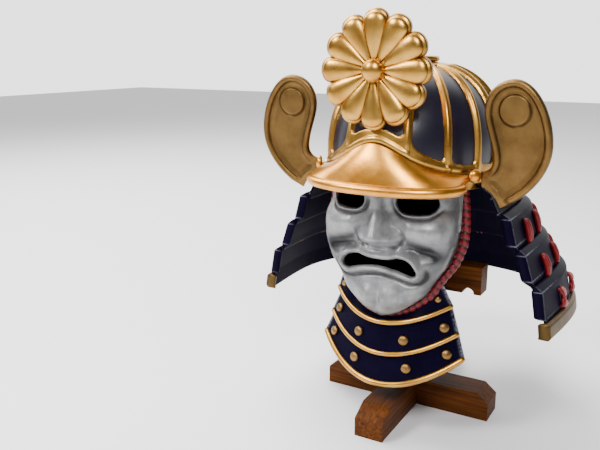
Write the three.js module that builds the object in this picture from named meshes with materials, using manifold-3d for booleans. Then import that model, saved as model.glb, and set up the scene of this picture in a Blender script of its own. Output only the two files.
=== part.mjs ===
// A kabuto, the helmet of Japanese armour, with its face mask and throat guard, on a wooden
// stand. Millimetres. The origin is on the floor under the post, the helmet faces -Y, +Z is up.

import * as THREE from 'three';
import { mergeVertices } from 'three/addons/utils/BufferGeometryUtils.js';
import Module from 'manifold-3d';

const wasm = await Module();
wasm.setup();

// ---- Driving dimensions -------------------------------------------------------------------

const GAP = 0.4; // clear space kept between neighbouring pieces

// Helmet bowl: an oval dome with a straight skirt below its spring line
const BOWL_HALF_WIDTH = 102.5;
const BOWL_FRONT_REACH = 127.5; // from the bowl's axis to the brow
const BOWL_BACK_REACH = 112;
const BOWL_AXIS_Y = -11;
const BOWL_SPRING_Z = 340;
const BOWL_TOP_Z = 451;
const BOWL_RIM_Z = 314;
const BOWL_FULLNESS = 2.5; // exponent of the dome's superellipse
const BOWL_WALL = 2;
const CROWN_HOLE_LIFT = 85; // degrees up the dome where the crown hole is cut
const BOWL_LIFTS = [0, 16, 32, 48, 62, 75, CROWN_HOLE_LIFT]; // rows of facets up the dome

// Gilt frame soldered up from a brow band, ribs and a crown collar
const RIB_ANGLES = [16.5, 39, 62, 84, 108, 132, 156, 180, -156, -132, -108, -84, -62, -39, -16.5];
const RIB_WIDTH = 8.5;
const RIB_HEIGHT = 4.4;
const FRAME_THICKNESS = 3;
const FRAME_STANDOFF = 1.5; // clears the flats between the bowl's facets
const BAND_BOTTOM_Z = 312;
const BAND_SIDE_Z = 336; // upper edge of the band at the sides and back
const BAND_PEAK = 45; // how far the upper edge climbs at the brow
const BAND_PEAK_ANGLE = 22.5;
const WINDOW_FILLET = 6;
const COLLAR_LIFT = 75;

// Visor
const VISOR_HALF_ANGLE = 57;
const VISOR_SIDE_Z = 324;
const VISOR_PEAK = 42;
const VISOR_PEAK_ANGLE = 22.5;
const VISOR_THICKNESS = 2.5;
const LIP_HALF_WIDTH = 93.5;
const LIP_REACH = 160; // lip to the stand's axis, at the middle
const LIP_BACK_Y = -104;
const LIP_MIDDLE_Z = 317;
const LIP_END_Z = 318;
const LIP_HALF_HEIGHT = 5.6;
const LIP_PROUD = 4;
const RIVET_RADIUS = 6.5;
const RIVET_ANGLE = 53.8;
const RIVET_Z = 330.5;
const RIVET_HEIGHT = 5.5;
const RIVET_SEAT = 5.8; // clears the sloping corner of the visor

// Crest: a chrysanthemum of twelve drop-shaped petals
const CREST_AT = [0, -145, 446];
const CREST_RADIUS = 65;
const PETALS = 12;
const PETAL_WIDTH = 25;
const PETAL_THICKNESS = 13;
const CREST_BOSS_RADIUS = 12;

// Ears
const EAR_PIVOT = [107, -74, 326];
const EAR_THICKNESS = 3;
const EAR_RIM_THICKNESS = 6.5;
const EAR_LEAN = 4; // degrees the top leans forward
const EAR_TURN = 4.5; // degrees the outer edge is turned forward
const EAR_BOSS_RADIUS = 17;
const EAR_BOSS_AT = [32, 79];
const EAR_PIN_RADIUS = 4.5;
const EAR_PIN_ANGLE = 69; // where the pin leaves the brow band

// Face mask
const MASK_WALL = 2.5;
const MASK_TOP_Z = 312;
const MASK_CORD_RADIUS = 5.6;
const EYE = { x: 43, z: 297.5, halfWidth: 22.5, halfHeight: 11.5, corner: 11 };
const BRACKET_WIDTH = 12;
const BRACKET_BOTTOM_Z = 246;
const BRACKET_TOP_Z = 262;
const BRACKET_GAP = 1.4; // clears the steep back of the nose
const FACE_BOARD_Y = -80; // back of the board that closes the eyes and mouth
const FACE_BOARD_THICKNESS = 4;

// Throat guard
const THROAT_WALL = 2;
const STUD_HEIGHT = 4;
const STUD_SEAT = 1; // stands the flat back clear of the curved plate

// Neck guard
const NECK_WALL = 2.5;
const LACING_WIDTH = 10;
const LACING_THICKNESS = 3;
const LACING_STANDOFF = 1.2;

// Stand
const BEAM = { halfLength: 115, width: 40, height: 36.5, endHeight: 24, chamfer: 15 };
const FOOT = { halfLength: 135.5, width: 37, height: 36.5, endHeight: 24, chamfer: 24 };
const POST_WIDTH = 30;
const POST_TOP_Z = 415;
const CROSSBAR = { halfLength: 87, thickness: 28, bottom: 156, top: 193 };
const REST_RADIUS = 34;
const REST_TOP_Z = 443;

// ---- Finishes -----------------------------------------------------------------------------

const finish = (color, roughness, metalness) =>
  new THREE.MeshStandardMaterial({ color, roughness, metalness });
const gilt = finish(0xb08a3e, 0.4, 0.9);
const visorGilt = finish(0xc8923a, 0.38, 0.9);
const lacquer = finish(0x17122c, 0.25, 0);
const maskIron = finish(0x8d8f8f, 0.5, 0.5);
const steel = finish(0xb9bcc0, 0.3, 1);
const silk = finish(0xa81420, 0.8, 0);
const wood = finish(0x5c300f, 0.55, 0);

// ---- Helpers ------------------------------------------------------------------------------

const { sin, cos, asin, abs, sign, max, min, hypot, PI } = Math;
const radians = THREE.MathUtils.degToRad;
const degrees = THREE.MathUtils.radToDeg;
const mix = THREE.MathUtils.lerp;
const steps = (count, from = 0, to = 1) =>
  Array.from({ length: count + 1 }, (_, i) => mix(from, to, i / count));

// A bell of height 1 that falls to a half where x is one width
const bell = (x, width, power = 2) => 1 / (1 + abs(x / width) ** power);

// Straight lines between the rows [x, y] of a table
function along(table, x) {
  const last = table.length - 1;
  if (x <= table[0][0]) return table[0][1];
  if (x >= table[last][0]) return table[last][1];
  const i = table.findIndex((row) => row[0] > x);
  const [x0, y0] = table[i - 1];
  const [x1, y1] = table[i];
  return mix(y0, y1, (x - x0) / (x1 - x0));
}

function volume(geometry) {
  const place = geometry.attributes.position;
  const corner = (i) => new THREE.Vector3().fromBufferAttribute(place, geometry.index.getX(i));
  let total = 0;
  for (let i = 0; i < geometry.index.count; i += 3) {
    total += corner(i).dot(corner(i + 1).cross(corner(i + 2))) / 6;
  }
  return total;
}

// Merged vertices and faces that point out, whichever way the body was made
function tidy(geometry) {
  geometry.deleteAttribute('normal');
  geometry.deleteAttribute('uv');
  const merged = mergeVertices(geometry, 1e-3);
  if (volume(merged) < 0) merged.index.array.reverse();
  return merged;
}

function body(points, faces) {
  const geometry = new THREE.BufferGeometry();
  geometry.setAttribute('position', new THREE.Float32BufferAttribute(points.flat(), 3));
  geometry.setIndex(faces);
  return tidy(geometry);
}

// A wall between two grids of points that have the same rows and columns
function wall(outer, inner, closed = false) {
  const rows = outer.length;
  const columns = outer[0].length;
  const at = (side, r, c) => (side * rows + r) * columns + (c % columns);
  const faces = [];
  const quad = (a, b, c, d) => faces.push(a, b, c, a, c, d);
  const spans = closed ? columns : columns - 1;
  for (let c = 0; c < spans; c++) {
    for (let r = 0; r < rows - 1; r++) {
      quad(at(0, r, c), at(0, r, c + 1), at(0, r + 1, c + 1), at(0, r + 1, c));
      quad(at(1, r, c), at(1, r + 1, c), at(1, r + 1, c + 1), at(1, r, c + 1));
    }
    quad(at(0, 0, c), at(1, 0, c), at(1, 0, c + 1), at(0, 0, c + 1));
    const r = rows - 1;
    quad(at(0, r, c), at(0, r, c + 1), at(1, r, c + 1), at(1, r, c));
  }
  if (!closed) {
    const c = columns - 1;
    for (let r = 0; r < rows - 1; r++) {
      quad(at(0, r, 0), at(0, r + 1, 0), at(1, r + 1, 0), at(1, r, 0));
      quad(at(0, r, c), at(1, r, c), at(1, r + 1, c), at(0, r + 1, c));
    }
  }
  return body([...outer.flat(), ...inner.flat()], faces);
}

// Grids are made from a point function, a list of rows and a list of columns
const grid = (rows, columns, point) => rows.map((r) => columns.map((c) => point(r, c)));

const extrude = (shape, depth) =>
  tidy(new THREE.ExtrudeGeometry(shape, { depth, bevelEnabled: false, curveSegments: 6 }));

// A round bar along a curve, with flat ends
function bar(points, radius, count, facets) {
  const section = new THREE.Shape();
  steps(facets).slice(0, facets).forEach((turn, i) => {
    const at = [radius * cos(2 * PI * turn), radius * sin(2 * PI * turn)];
    if (i) section.lineTo(...at);
    else section.moveTo(...at);
  });
  const extrudePath = new THREE.CatmullRomCurve3(points.map((p) => new THREE.Vector3(...p)));
  return tidy(new THREE.ExtrudeGeometry(section, { extrudePath, steps: count }));
}

// A turned body on the Z axis from a profile of [radius, height]
const turned = (profile, segments) => tidy(
  new THREE.LatheGeometry(profile.map((p) => new THREE.Vector2(...p)), segments).rotateX(PI / 2),
);

const box = (x0, x1, y0, y1, z0, z1) => tidy(
  new THREE.BoxGeometry(x1 - x0, y1 - y0, z1 - z0)
    .translate((x0 + x1) / 2, (y0 + y1) / 2, (z0 + z1) / 2),
);

function toSolid(geometry) {
  return new wasm.Manifold(new wasm.Mesh({
    numProp: 3,
    vertProperties: geometry.attributes.position.array,
    triVerts: new Uint32Array(geometry.index.array),
  }));
}

function fromSolid(solid) {
  const mesh = solid.getMesh();
  const geometry = new THREE.BufferGeometry();
  geometry.setAttribute('position', new THREE.BufferAttribute(mesh.vertProperties, 3));
  geometry.setIndex(new THREE.BufferAttribute(mesh.triVerts, 1));
  return tidy(geometry);
}

const joined = (parts) => fromSolid(parts.map(toSolid).reduce((a, b) => a.add(b)));
const cut = (part, tools) => fromSolid(tools.map(toSolid).reduce((a, b) => a.subtract(b), toSolid(part)));

// The largest of the bodies that a cut leaves
function largest(geometry) {
  const parts = toSolid(geometry).decompose();
  return fromSolid(parts.reduce((a, b) => (a.volume() > b.volume() ? a : b)));
}

const kabuto = new THREE.Group();
kabuto.name = 'kabuto';

function place(name, geometry, material) {
  const mesh = new THREE.Mesh(geometry, material);
  mesh.name = name;
  kabuto.add(mesh);
  return mesh;
}

const sides = [['left', -1], ['right', 1]];

// ---- Helmet bowl --------------------------------------------------------------------------

// A point on the bowl, out millimetres proud of its skin. angle is measured from the brow
// towards +X. lift is degrees up the dome, or, below zero, millimetres down the skirt.
function bowlPoint(angle, lift, out) {
  const a = radians(angle);
  const reach = (cos(a) > 0 ? BOWL_FRONT_REACH : BOWL_BACK_REACH) + out;
  const radius = 1 / hypot(sin(a) / (BOWL_HALF_WIDTH + out), cos(a) / reach);
  const rise = radians(max(lift, 0));
  const spread = cos(rise) ** (2 / BOWL_FULLNESS);
  const height = (BOWL_TOP_Z - BOWL_SPRING_Z + out) * sin(rise) ** (2 / BOWL_FULLNESS);
  return [
    spread * radius * sin(a),
    BOWL_AXIS_Y - spread * radius * cos(a),
    BOWL_SPRING_Z + height + min(lift, 0),
  ];
}

// The lift at which the bowl's skin passes a height
function liftAt(z) {
  const share = (z - BOWL_SPRING_Z) / (BOWL_TOP_Z - BOWL_SPRING_Z);
  return share < 0 ? z - BOWL_SPRING_Z : degrees(asin(share ** (BOWL_FULLNESS / 2)));
}

const bandTop = (angle) => BAND_SIDE_Z + BAND_PEAK * bell(angle, BAND_PEAK_ANGLE, 2.8);

function bowlShell() {
  const lifts = [BOWL_RIM_Z - BOWL_SPRING_Z, ...BOWL_LIFTS];
  const angles = steps(32, 0, 360).slice(0, 32);
  const skin = (out) => grid(lifts, angles, (lift, angle) => bowlPoint(angle, lift, out));
  return wall(skin(0), skin(-BOWL_WALL), true);
}

// One rib: a half-round strip that lies up the dome
function rib(angle) {
  const foot = liftAt(bandTop(angle)) - 5;
  const lifts = [foot, ...BOWL_LIFTS.slice(0, -1).filter((lift) => lift > foot + 2)];
  const across = (out) => grid(lifts, [-1, 0, 1], (lift, share) => {
    const [x, y] = bowlPoint(angle, lift, 0);
    const turn = degrees(share * RIB_WIDTH / 2 / hypot(x, y - BOWL_AXIS_Y));
    return bowlPoint(angle + turn, lift, out(share));
  });
  return wall(across((share) => mix(RIB_HEIGHT, 2.4, abs(share))), across(() => FRAME_STANDOFF));
}

// The brow band. Its upper edge climbs at the brow and runs up into each rib in a fillet.
function browBand() {
  const offsets = [-4, -1.85, 1.85, 4];
  const columns = RIB_ANGLES.flatMap((angle, i) => {
    const next = RIB_ANGLES[(i + 1) % RIB_ANGLES.length];
    const middle = angle + ((next - angle + 360) % 360) / 2;
    return [...offsets.map((o) => angle + o), middle];
  });
  const gapToRib = (angle) => min(...RIB_ANGLES.map((r) => abs(((angle - r + 540) % 360) - 180)));
  const top = (angle) => {
    const turn = ((angle + 540) % 360) - 180;
    const reach = max(1 - max(gapToRib(angle) - 1.8, 0) / 4, 0);
    return bandTop(turn) + WINDOW_FILLET * reach ** 2;
  };
  const skin = (out) => grid([0, 0.55, 1], columns, (share, angle) =>
    bowlPoint(angle, liftAt(mix(BAND_BOTTOM_Z, top(angle), share)), out));
  return wall(skin(FRAME_THICKNESS), skin(FRAME_STANDOFF), true);
}

function crownCollar() {
  const lifts = [COLLAR_LIFT, CROWN_HOLE_LIFT];
  const angles = steps(24, 0, 360).slice(0, 24);
  const skin = (out) => grid(lifts, angles, (lift, angle) => bowlPoint(angle, lift, out));
  return wall(skin(FRAME_THICKNESS), skin(FRAME_STANDOFF), true);
}

function crownRing() {
  const foot = BOWL_TOP_Z + FRAME_THICKNESS + GAP;
  const profile = [[14, foot], [24, foot - 0.5], [25, foot + 1], [24, foot + 2.6], [19.5, foot + 3],
    [18.5, foot + 4.8], [15, foot + 5.2], [14, foot + 4.2]];
  return turned([...profile, profile[0]], 18).translate(0, BOWL_AXIS_Y, 0);
}

place('bowl_shell', bowlShell(), lacquer);
place('bowl_frame', joined([browBand(), ...RIB_ANGLES.map(rib), crownCollar()]), gilt);
place('crown_ring', crownRing(), gilt);

// ---- Visor --------------------------------------------------------------------------------

// t runs from -1 at the left rivet to 1 at the right one
function visorJoint(t, out) {
  const angle = t * VISOR_HALF_ANGLE;
  const z = VISOR_SIDE_Z + VISOR_PEAK * bell(angle, VISOR_PEAK_ANGLE);
  return bowlPoint(angle, liftAt(z), FRAME_THICKNESS + GAP + out);
}

function lipPoint(t, out) {
  const a = t * PI / 2;
  const power = 2 / 2.3;
  const reach = LIP_REACH + LIP_BACK_Y + out;
  return [
    (LIP_HALF_WIDTH + out) * sign(t) * abs(sin(a)) ** power,
    LIP_BACK_Y - reach * cos(a) ** power,
    mix(LIP_MIDDLE_Z, LIP_END_Z, t * t),
  ];
}

function visor() {
  const across = steps(20, -1, 1);
  const down = steps(2, 0, 1);
  const [proud, high] = [LIP_PROUD, LIP_HALF_HEIGHT];
  const outline = [[0, high], [proud, high * 0.6], [proud, -high * 0.6], [0, -high]]; // rolled lip
  const skin = (inside) => [
    ...grid(down, across, (v, t) => {
      const joint = visorJoint(t, inside ? 0 : VISOR_THICKNESS);
      const lip = lipPoint(t, inside ? -VISOR_THICKNESS : 0);
      lip[2] += outline[0][1] + 1;
      return joint.map((value, i) => mix(value, lip[i], v));
    }),
    ...grid(outline, across, ([out, height], t) => {
      const [x, y, z] = lipPoint(t, inside ? -VISOR_THICKNESS : out);
      return [x, y, z + height];
    }),
  ];
  return wall(skin(false), skin(true));
}

place('visor', visor(), visorGilt);

// A domed rivet head seated on the visor's corner
function rivet(angle) {
  const seat = FRAME_THICKNESS + GAP + VISOR_THICKNESS + RIVET_SEAT;
  const dome = steps(3, 0, 90).map((a) =>
    [RIVET_RADIUS * cos(radians(a)), RIVET_HEIGHT * sin(radians(a))]);
  const head = turned([[0, 0], ...dome.slice(0, -1), [0, RIVET_HEIGHT]], 12);
  const foot = new THREE.Vector3(...bowlPoint(angle, RIVET_Z - BOWL_SPRING_Z, seat));
  const tip = new THREE.Vector3(...bowlPoint(angle, RIVET_Z - BOWL_SPRING_Z, seat + 1));
  const turn = new THREE.Quaternion()
    .setFromUnitVectors(new THREE.Vector3(0, 0, 1), tip.sub(foot).normalize());
  return tidy(head.applyQuaternion(turn).translate(...foot));
}

place('visor_rivet_left', rivet(-RIVET_ANGLE), visorGilt);
place('visor_rivet_right', rivet(RIVET_ANGLE), visorGilt);

// ---- Crest --------------------------------------------------------------------------------

// Half-widths of a petal as shares of its width, [share of the radius, share of the width]
const PETAL = [[0.14, 0], [0.15, 0.11], [0.45, 0.36], [0.76, 0.5], [0.9, 0.42], [0.975, 0.21], [1, 0]];

function petal(turn) {
  const profile = PETAL.map(([r, w]) => new THREE.Vector2(w * PETAL_WIDTH, r * CREST_RADIUS));
  const drop = new THREE.LatheGeometry(profile, 8);
  drop.scale(1, 1, PETAL_THICKNESS / PETAL_WIDTH);
  drop.rotateX(PI / 2).rotateY(turn);
  return tidy(drop);
}

function crestPetals() {
  const core = turned([[0, -5], [24, -5], [24, 0], [0, 0]], 24).rotateX(PI / 2);
  const turns = steps(PETALS, 0, 2 * PI).slice(0, PETALS);
  return joined([core, ...turns.map(petal)]);
}

function crestBoss() {
  const arc = steps(4, 0, 90).map((a) => [
    CREST_BOSS_RADIUS * cos(radians(a)),
    4 + GAP + 6.5 * sin(radians(a)),
  ]);
  return turned([[0, 4 + GAP], ...arc.slice(0, -1), [0, 10.5 + GAP]], 16).rotateX(PI / 2);
}

function crestProng() {
  const [, y] = CREST_AT;
  return box(-6, 6, y + PETAL_THICKNESS / 2 + GAP, y + 10, 382.5, 440);
}

place('crest_flower', crestPetals(), gilt).position.set(...CREST_AT);
place('crest_boss', crestBoss(), gilt).position.set(...CREST_AT);
place('crest_prong', crestProng(), gilt);

// ---- Ears ---------------------------------------------------------------------------------

// Outline from the neck, round the hollow, the top and the lobe; x is out, y is up from the pivot
function earOutline() {
  const outline = new THREE.Shape();
  outline.moveTo(-3, 9);
  outline.bezierCurveTo(5, 9, 11, 16, 10.5, 25);
  outline.bezierCurveTo(9.5, 42, -1.5, 62, -1.5, 78);
  outline.bezierCurveTo(-1.5, 98, 13, 112, 31, 112);
  outline.bezierCurveTo(55, 112, 74, 74, 74, 42);
  outline.bezierCurveTo(74, 12, 50, -18, 20, -31);
  outline.bezierCurveTo(16, -22, 10, -14, -3, -8);
  return outline;
}

// The dish inside the raised rim
function earDish() {
  const dish = new THREE.Shape();
  dish.moveTo(17.5, 25);
  dish.bezierCurveTo(16.5, 43, 5.5, 63, 5.5, 78);
  dish.bezierCurveTo(5.5, 94, 16, 105, 31, 105);
  dish.bezierCurveTo(51, 105, 67, 72, 67, 42);
  dish.bezierCurveTo(67, 15, 46, -12, 22.5, -22);
  dish.bezierCurveTo(19, -12, 18, 5, 17.5, 25);
  return dish;
}

const flat = (points) => new THREE.Shape(points.map((p) => new THREE.Vector2(...p)));

function ear(way) {
  const rimmed = extrude(earOutline(), EAR_RIM_THICKNESS);
  const dish = extrude(earDish(), EAR_RIM_THICKNESS).translate(0, 0, EAR_THICKNESS);
  const boss = turned([[0, 0.5], [EAR_BOSS_RADIUS, 0.5], [EAR_BOSS_RADIUS, 5], [EAR_BOSS_RADIUS - 3, 6.5],
    [0, 7.5]], 20).translate(...EAR_BOSS_AT, 0);
  const whole = joined([cut(rimmed, [tidy(dish)]), boss]);
  whole.rotateX(PI / 2).rotateX(radians(EAR_LEAN)).rotateZ(radians(-EAR_TURN)).scale(way, 1, 1);
  return tidy(whole);
}

// A stub from the brow band to the back of the ear's neck, fitted to both
function earPin() {
  const start = new THREE.Vector3(...bowlPoint(EAR_PIN_ANGLE, EAR_PIVOT[2] - BOWL_SPRING_Z, -2));
  const end = new THREE.Vector3(EAR_PIVOT[0] + 3, EAR_PIVOT[1] - 3, EAR_PIVOT[2]);
  const pin = bar([start.toArray(), end.toArray()], EAR_PIN_RADIUS, 1, 12);
  const lifts = [-25, 0];
  const skin = (out) => grid(lifts, steps(12, 45, 80), (lift, angle) => bowlPoint(angle, lift, out));
  const band = wall(skin(FRAME_THICKNESS + GAP), skin(-10));
  const neck = box(80, 140, -100, EAR_PIVOT[1] + GAP + 1, 300, 350);
  return cut(pin, [band, neck]);
}

for (const [side, way] of sides) {
  const [x, y, z] = EAR_PIVOT;
  place(`ear_${side}`, ear(way), gilt).position.set(way * x, y, z);
  place(`ear_pin_${side}`, tidy(earPin().scale(way, 1, 1)), steel);
}

// ---- Face mask ----------------------------------------------------------------------------

// The cord that binds the mask's edge: [out from the middle, depth, height], brow to chin
const MASK_EDGE = [[80, -60, 318], [82, -62, 306], [84.5, -64, 292], [86.2, -65, 277], [87, -65.5, 262],
  [86, -66, 247], [83, -67, 235.5], [77, -68.5, 219.5], [69.5, -72.5, 208], [62, -78, 196],
  [55, -82, 182.5], [44.5, -87, 173.5], [32.5, -91, 164], [20.5, -94, 157.5], [9, -96, 153.5],
  [0, -96.5, 152]];

// Depth of the face down its middle, without the nose: [height, y]
const MASK_MIDDLE = [[152, -104], [154.5, -108.5], [158, -112.5], [166, -117], [176, -120], [188, -119.5],
  [200, -116.5], [212, -118], [226, -120.5], [240, -120], [255, -118], [275, -117], [288, -116],
  [300, -120], [324, -122]];

// Height of the nose over the face: [height, proud]
const NOSE = [[242, 0], [247, 7], [251, 19], [257, 28], [266, 26], [278, 21], [291, 16], [303, 12.5],
  [318, 8]];

// Exponent of the face's plan, round at the chin, full at the cheeks and hollow at the temples
const FACE_SQUARENESS = [[165, 2.2], [240, 4], [272, 4], [290, 2.3]];

const FACE_COLUMNS = steps(22, -1, 1);
const FACE_ROWS = steps(19).map((v) => v ** 0.9);

// The mask's own edge lies just in front of the cord and a little inside it
const MASK_EDGE_FORWARD = 8.5;
const MASK_EDGE_OUT = -4;
const edgeByHeight = MASK_EDGE.map(([x, , z]) => [z, x + MASK_EDGE_OUT]).reverse();
const edgeDepth = MASK_EDGE.map(([, y, z]) => [z, y - MASK_EDGE_FORWARD]).reverse();
const MASK_WIDEST = max(...edgeByHeight.map(([, x]) => x));
const jaw = MASK_EDGE.filter(([, , z]) => z <= 262).map(([x, , z]) => [x + MASK_EDGE_OUT, z]).reverse();

const bump = (x, z, atX, atZ, wide, tall) => Math.exp(-(((x - atX) / wide) ** 2) - ((z - atZ) / tall) ** 2);

// How far the face stands forward of its smooth form
function relief(x, z) {
  const side = abs(x);
  const noseWidth = mix(13, 7, min(max((z - 248) / 40, 0), 1));
  const nose = along(NOSE, z) * Math.exp(-((side / noseWidth) ** 2.4));
  const wings = 12 * bump(side, z, 16.5, 256.5, 8, 7.5);
  const cheekbones = 6 * bump(side, z, 52, 267, 20, 12);
  const hollows = -7 * bump(side, z, 56, 240, 18, 13);
  const fold = 4 * bump(side - (252 - z) * 0.75, z, 24, 232, 7, 18);
  const lips = 4.5 * bump(0, z, 0, 236, 1, 6) * bell(side, 48, 8) + 4 * bump(side, z, 0, 213, 34, 6);
  const chin = 3 * bump(side, z, 15, 176, 14, 14);
  const eyeRim = 3 * Math.exp(-(((hypot((side - EYE.x) / 27, (z - EYE.z) / 15) - 1) / 0.22) ** 2));
  return nose + wings + cheekbones + hollows + fold + lips + chin + eyeRim;
}

// back is 0 on the face's outer skin, or the distance behind it
function facePoint(u, v, back) {
  const x = MASK_WIDEST * sin(u * PI / 2);
  const z = mix(MASK_TOP_Z, along(jaw, abs(x)), v);
  const edge = along(edgeByHeight, z);
  const beside = min(abs(x) / max(edge, 1), 1);
  const squareness = along(FACE_SQUARENESS, z);
  const round = (1 - beside ** squareness) ** (1 / squareness);
  const y = mix(along(edgeDepth, z), along(MASK_MIDDLE, z), round);
  const fade = 1 - beside ** 6;
  if (back === 0) return [x, y - relief(x, z) * fade, z];
  return [x * 0.975, y + back - relief(x, z) * 0.85 * fade, z + 0.6 * v];
}

function rounded(halfWidth, halfHeight, radius) {
  const s = new THREE.Shape();
  const w = halfWidth;
  const h = halfHeight;
  s.moveTo(-w + radius, -h);
  s.lineTo(w - radius, -h);
  s.quadraticCurveTo(w, -h, w, -h + radius);
  s.lineTo(w, h - radius);
  s.quadraticCurveTo(w, h, w - radius, h);
  s.lineTo(-w + radius, h);
  s.quadraticCurveTo(-w, h, -w, h - radius);
  s.lineTo(-w, -h + radius);
  s.quadraticCurveTo(-w, -h, -w + radius, -h);
  return s;
}

function mouth() {
  const s = new THREE.Shape();
  s.moveTo(0, 220.5);
  s.quadraticCurveTo(22, 219.5, 38, 212.5);
  s.quadraticCurveTo(46, 211, 45, 219);
  s.quadraticCurveTo(43, 228, 33, 229.5);
  s.quadraticCurveTo(16, 230, 0, 229);
  s.quadraticCurveTo(-16, 230, -33, 229.5);
  s.quadraticCurveTo(-43, 228, -45, 219);
  s.quadraticCurveTo(-46, 211, -38, 212.5);
  s.quadraticCurveTo(-22, 219.5, 0, 220.5);
  return s;
}

function through(shape, x, z) {
  return tidy(new THREE.ExtrudeGeometry(shape, { depth: 90, bevelEnabled: false, curveSegments: 3 })
    .rotateX(PI / 2).translate(x, -70, z));
}

const faceSkin = (back) => grid(FACE_ROWS, FACE_COLUMNS, (v, u) => facePoint(u, v, back));

function mask() {
  const eye = rounded(EYE.halfWidth, EYE.halfHeight, EYE.corner);
  return cut(wall(faceSkin(0), faceSkin(MASK_WALL)),
    [through(eye, -EYE.x, EYE.z), through(eye, EYE.x, EYE.z), through(mouth(), 0, 0)]);
}

// A board that follows the mask's outline from behind: [half width, height]
const FACE_BOARD = [[72, 309], [68, 240], [63.5, 213], [55, 202], [36, 186]];

function faceBoard() {
  const left = FACE_BOARD.map(([x, z]) => [-x, z]).reverse();
  return extrude(flat([...FACE_BOARD, ...left]), FACE_BOARD_THICKNESS)
    .rotateX(PI / 2).translate(0, FACE_BOARD_Y, 0);
}

// The board on a strut that runs from the stand's post to the back of the nose
function maskBracket() {
  const strut = box(-BRACKET_WIDTH / 2, BRACKET_WIDTH / 2, -150, -POST_WIDTH / 2 - GAP,
    BRACKET_BOTTOM_Z, BRACKET_TOP_Z);
  const arm = largest(cut(strut, [wall(faceSkin(-60), faceSkin(MASK_WALL + BRACKET_GAP))]));
  return joined([arm, faceBoard()]);
}

function cordBar(radius) {
  const left = MASK_EDGE.slice(0, -1).map(([x, y, z]) => [-x, y, z]).reverse();
  return bar([...MASK_EDGE, ...left], radius, 34, 7);
}

place('mask', mask(), maskIron);
place('mask_cord', cordBar(MASK_CORD_RADIUS), silk);
place('mask_bracket', maskBracket(), wood);

// ---- Throat guard -------------------------------------------------------------------------

// Three lames, top to bottom. Each edge is [half width, y at the middle, y at the ends,
// z at the middle, z at the ends].
const THROAT = [
  { rim: [76.8, -111, -67, 146.5, 167], rimRadius: 3.2, studs: [0.885], studRadius: 4.5, studHeight: 0.42 },
  {
    top: [74, -105.5, -61, 145, 166],
    rim: [86, -113, -66, 106.5, 132.5],
    rimRadius: 3.2,
    studs: [0.36, 0.86],
    studRadius: 6.5,
    studHeight: 0.6,
  },
  {
    top: [83, -107, -61, 112, 136],
    rim: [95, -115, -68, 67, 103],
    rimRadius: 4,
    studs: [0.38, 0.84],
    studRadius: 6.5,
    studHeight: 0.6,
  },
];
const THROAT_TOP_HALF_WIDTH = 64;

function throatPoint([halfWidth, middleY, endY, middleZ, endZ], t, out) {
  const x = halfWidth * t;
  const y = mix(middleY, endY, t * t);
  const slope = 2 * (endY - middleY) * t / halfWidth;
  const length = hypot(1, slope);
  return [x + out * slope / length, y - out / length, mix(middleZ, endZ, t * t)];
}

// The top lame springs from the cord on the mask's jaw
const cordDepth = MASK_EDGE.map(([x, y]) => [x, y]).reverse();
const cordHeight = MASK_EDGE.map(([x, , z]) => [x, z]).reverse();
function jawPoint(t, out) {
  const x = THROAT_TOP_HALF_WIDTH * t;
  return [x, along(cordDepth, abs(x)) - out, along(cordHeight, abs(x))];
}

function throatPlate({ top, rim, rimRadius }) {
  const bottom = rim.map((value, i) => (i > 2 ? value + rimRadius + 2 * GAP : value));
  return (v, t, out) => {
    const upper = top ? throatPoint(top, t, out) : jawPoint(t, out);
    const lower = throatPoint(bottom, t, out);
    return upper.map((value, i) => mix(value, lower[i], v));
  };
}

THROAT.forEach((lame, tier) => {
  const { rim, rimRadius, studs, studRadius, studHeight } = lame;
  const point = throatPlate(lame);
  const skin = (out) => grid([0, 0.5, 1], steps(16, -1, 1), (v, t) => point(v, t, out));
  const plate = wall(skin(0), skin(-THROAT_WALL));
  const clear = tier ? plate : largest(cut(plate, [cordBar(MASK_CORD_RADIUS + GAP)]));
  place(`throat_plate_${tier + 1}`, clear, lacquer);
  const route = steps(16, -1, 1).map((t) => throatPoint(rim, t, 0));
  place(`throat_rim_${tier + 1}`, bar(route, rimRadius, 16, 6), gilt);
  const normal = (v, t) => {
    const at = (dv, dt) => new THREE.Vector3(...point(v + dv, t + dt, 0));
    return at(0, 0.01).sub(at(0, -0.01)).cross(at(0.01, 0).sub(at(-0.01, 0))).normalize();
  };
  const dome = steps(3, 0, 90).map((a) => [studRadius * cos(radians(a)), STUD_HEIGHT * sin(radians(a))]);
  studs.forEach((share) => {
    for (const [side, way] of sides) {
      const row = share > 0.5 ? 'outer' : 'inner';
      const stud = turned([[0, 0], ...dome.slice(0, -1), [0, STUD_HEIGHT]], 9);
      const out = normal(studHeight, way * share).negate();
      if (out.y > 0) out.negate();
      const mesh = place(`throat_stud_${tier + 1}_${row}_${side}`, stud, gilt);
      mesh.position.set(...point(studHeight, way * share, 0)).addScaledVector(out, STUD_SEAT);
      mesh.quaternion.setFromUnitVectors(new THREE.Vector3(0, 0, 1), out);
    }
  });
});

// ---- Neck guard ---------------------------------------------------------------------------

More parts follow.
